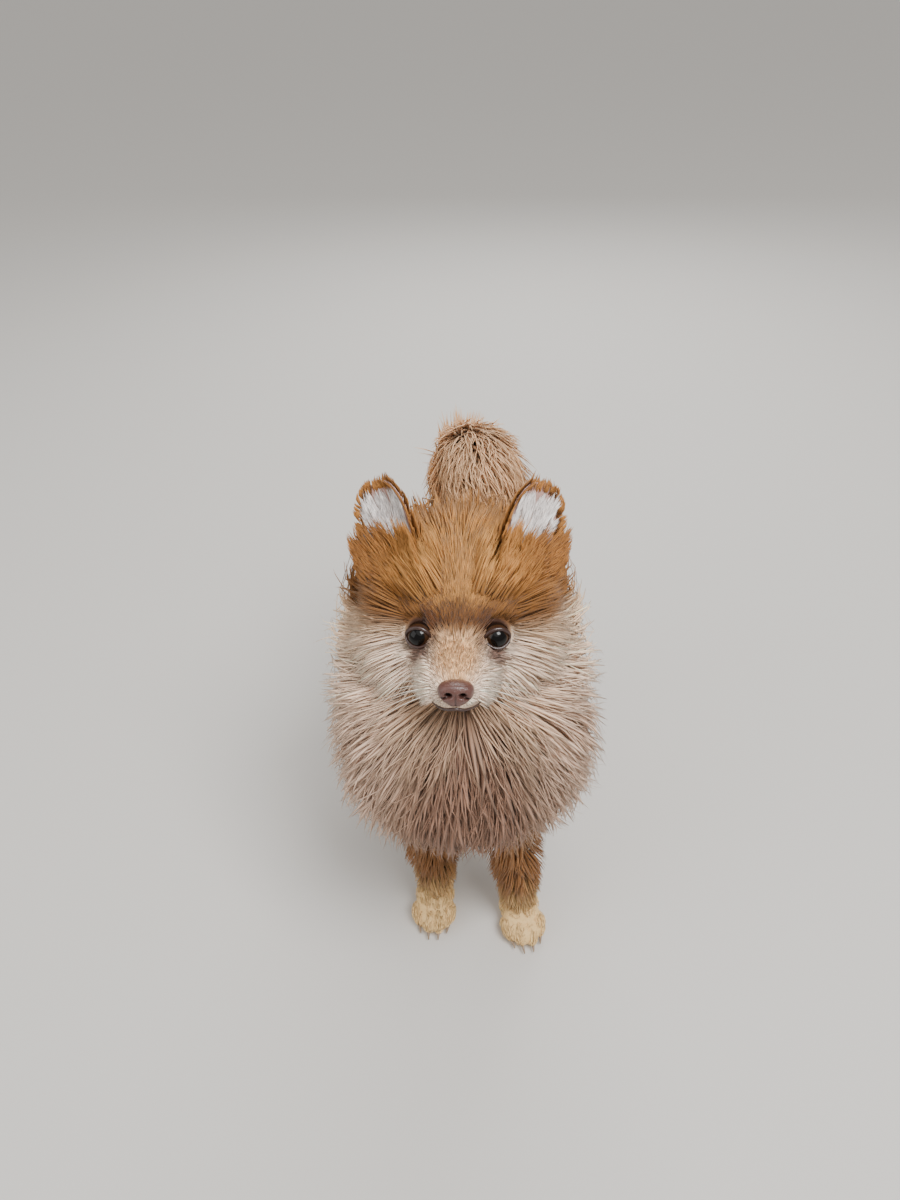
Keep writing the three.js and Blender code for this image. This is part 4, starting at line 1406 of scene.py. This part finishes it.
# Nose leather: a rounded pad with two comma-shaped nostrils and a groove down its middle
def make_nose():
    corners, faces = loft_arrays(sphere, 90, 110)
    x, y, z = corners.T
    wide = 1 + 0.1 * smooth(z, -0.2, 0.5) - 0.22 * smooth(-z, 0.1, 1)
    flat_front = np.where(y < -0.55, -0.55 + (y + 0.55) * 0.55, y)
    flat_top = np.where(z > 0.6, 0.6 + (z - 0.6) * 0.6, z)
    x, y, z = x * wide, flat_front, flat_top
    q = np.abs(x)
    groove = np.exp(-((x / 0.055) ** 2)) * smooth(-y, 0.1, 0.5) * (1 - smooth(z, 0.0, 0.35))
    hole = np.exp(-(np.hypot((q - 0.4) / 0.17, (z - 0.02) / 0.15) ** 2)) * smooth(-y, 0.2, 0.5)
    slit = np.exp(-(np.hypot((q - 0.66) / 0.16, (z + 0.16 + 0.25 * (q - 0.4)) / 0.075) ** 2))
    slit *= smooth(-y, 0.05, 0.3)
    pressed = columns(x, y + (0.1 * groove + 0.62 * hole + 0.3 * slit), z)
    # how deep each corner lies in a nostril or the groove: the nose's material paints shade there
    deep = np.clip(hole * 1.3 + slit * 1.1 + 0.5 * groove, 0, 1)
    placed = head_to_body(pressed * NOSE_RADII + NOSE_CENTRE)
    piece = add_piece("nose_leather", form_mesh("nose_leather", placed, faces, "Deep", deep), NOSE_LEATHER)
    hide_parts("nose")


make_nose()


def make_whiskers():
    """Fine pale whiskers from each side of the muzzle, curving outward and down."""
    t = np.linspace(0, 1, 12)
    for side, word in SIDES.items():
        for number in range(8):
            row, place = divmod(number, 4)
            root = np.array([side * (12.5 + row), -29 + 4.2 * place, -15.5 - 3.6 * row])
            length = random.uniform(*WHISKER_LENGTHS)
            out = unit(np.array([[side, 0.1 + 0.22 * place, -0.15 - 0.25 * row]]))[0]
            path = head_to_body(root + length * (t[:, None] * out + (t**2)[:, None] * [0, 0.12, -0.26]))
            piece = tube(f"whisker_{word}_{number}", path, WHISKER_RADIUS * (1 - 0.85 * t), WHISKER)


make_whiskers()


def make_claws():
    t = np.linspace(0, 1, 10)
    for kind in PAWS:
        for side, word in SIDES.items():
            for number, (x, y, turn) in enumerate(TOES):
                path = columns(0 * t, -CLAW_LENGTH * t, 4.6 - 2.6 * t**2)
                path = path @ turn_matrix(z=turn).T + np.array([x * 1.02, y - 4.5, 0])
                radii = CLAW_RADIUS * np.sqrt(1 - 0.96 * t)
                piece = tube(
                    f"claw_{kind}_{word}_{number}", paw_place(kind, side, path), radii, CLAW_HORN
                )


make_claws()


# Floor, light and camera
def make_stage():
    bpy.ops.mesh.primitive_plane_add(size=FLOOR_SIZE, location=(0, 0, -0.0005))
    floor = bpy.context.object
    floor.name = "floor"
    material, nodes, links, surface = shader("floor", 0.8, specular=0.2)
    surface.inputs["Base Color"].default_value = FLOOR_COLOUR
    floor.data.materials.append(material)
    floor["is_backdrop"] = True
    world = bpy.context.scene.world or bpy.data.worlds.new("world")
    bpy.context.scene.world = world
    world.use_nodes = True
    background = world.node_tree.nodes["Background"]
    background.inputs["Color"].default_value = SKY_COLOUR
    background.inputs["Strength"].default_value = SKY_STRENGTH
    for name, (place, size, power) in LAMPS.items():
        light = bpy.data.lights.new(name, "AREA")
        light.size = size
        light.energy = power
        lamp = add_object(name, light)
        lamp.location = place
        lamp.rotation_euler = (Vector(LAMP_AIM) - Vector(place)).to_track_quat("-Z", "Y").to_euler()
    sky = bpy.data.lights.new("sky", "SUN")
    sky.energy = 0.9
    sky.angle = 1.2
    add_object("sky", sky).rotation_euler = (math.radians(25), 0, math.radians(15))


make_stage()


def make_camera():
    camera = add_object("camera", bpy.data.cameras.new("camera"))
    bpy.context.scene.camera = camera
    camera.data.sensor_width = 36
    camera.data.sensor_fit = "AUTO"
    camera.data.lens = CAMERA_LENS
    camera.data.clip_start = 0.01
    pitch, roll = math.radians(CAMERA_PITCH), math.radians(CAMERA_ROLL)
    level = Vector((0, math.sin(pitch), math.cos(pitch)))
    right = math.cos(roll) * Vector((1, 0, 0)) - math.sin(roll) * level
    up = math.sin(roll) * Vector((1, 0, 0)) + math.cos(roll) * level
    turn = Matrix((right, up, right.cross(up))).transposed().to_4x4()
    camera.matrix_world = Matrix.Translation(Vector(metres(CAMERA_PLACE))) @ turn


make_camera()

boxes = {"cad": CAD_BOX, "visual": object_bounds()}
{name: [[float(c) for c in corner] for corner in box] for name, box in boxes.items()}
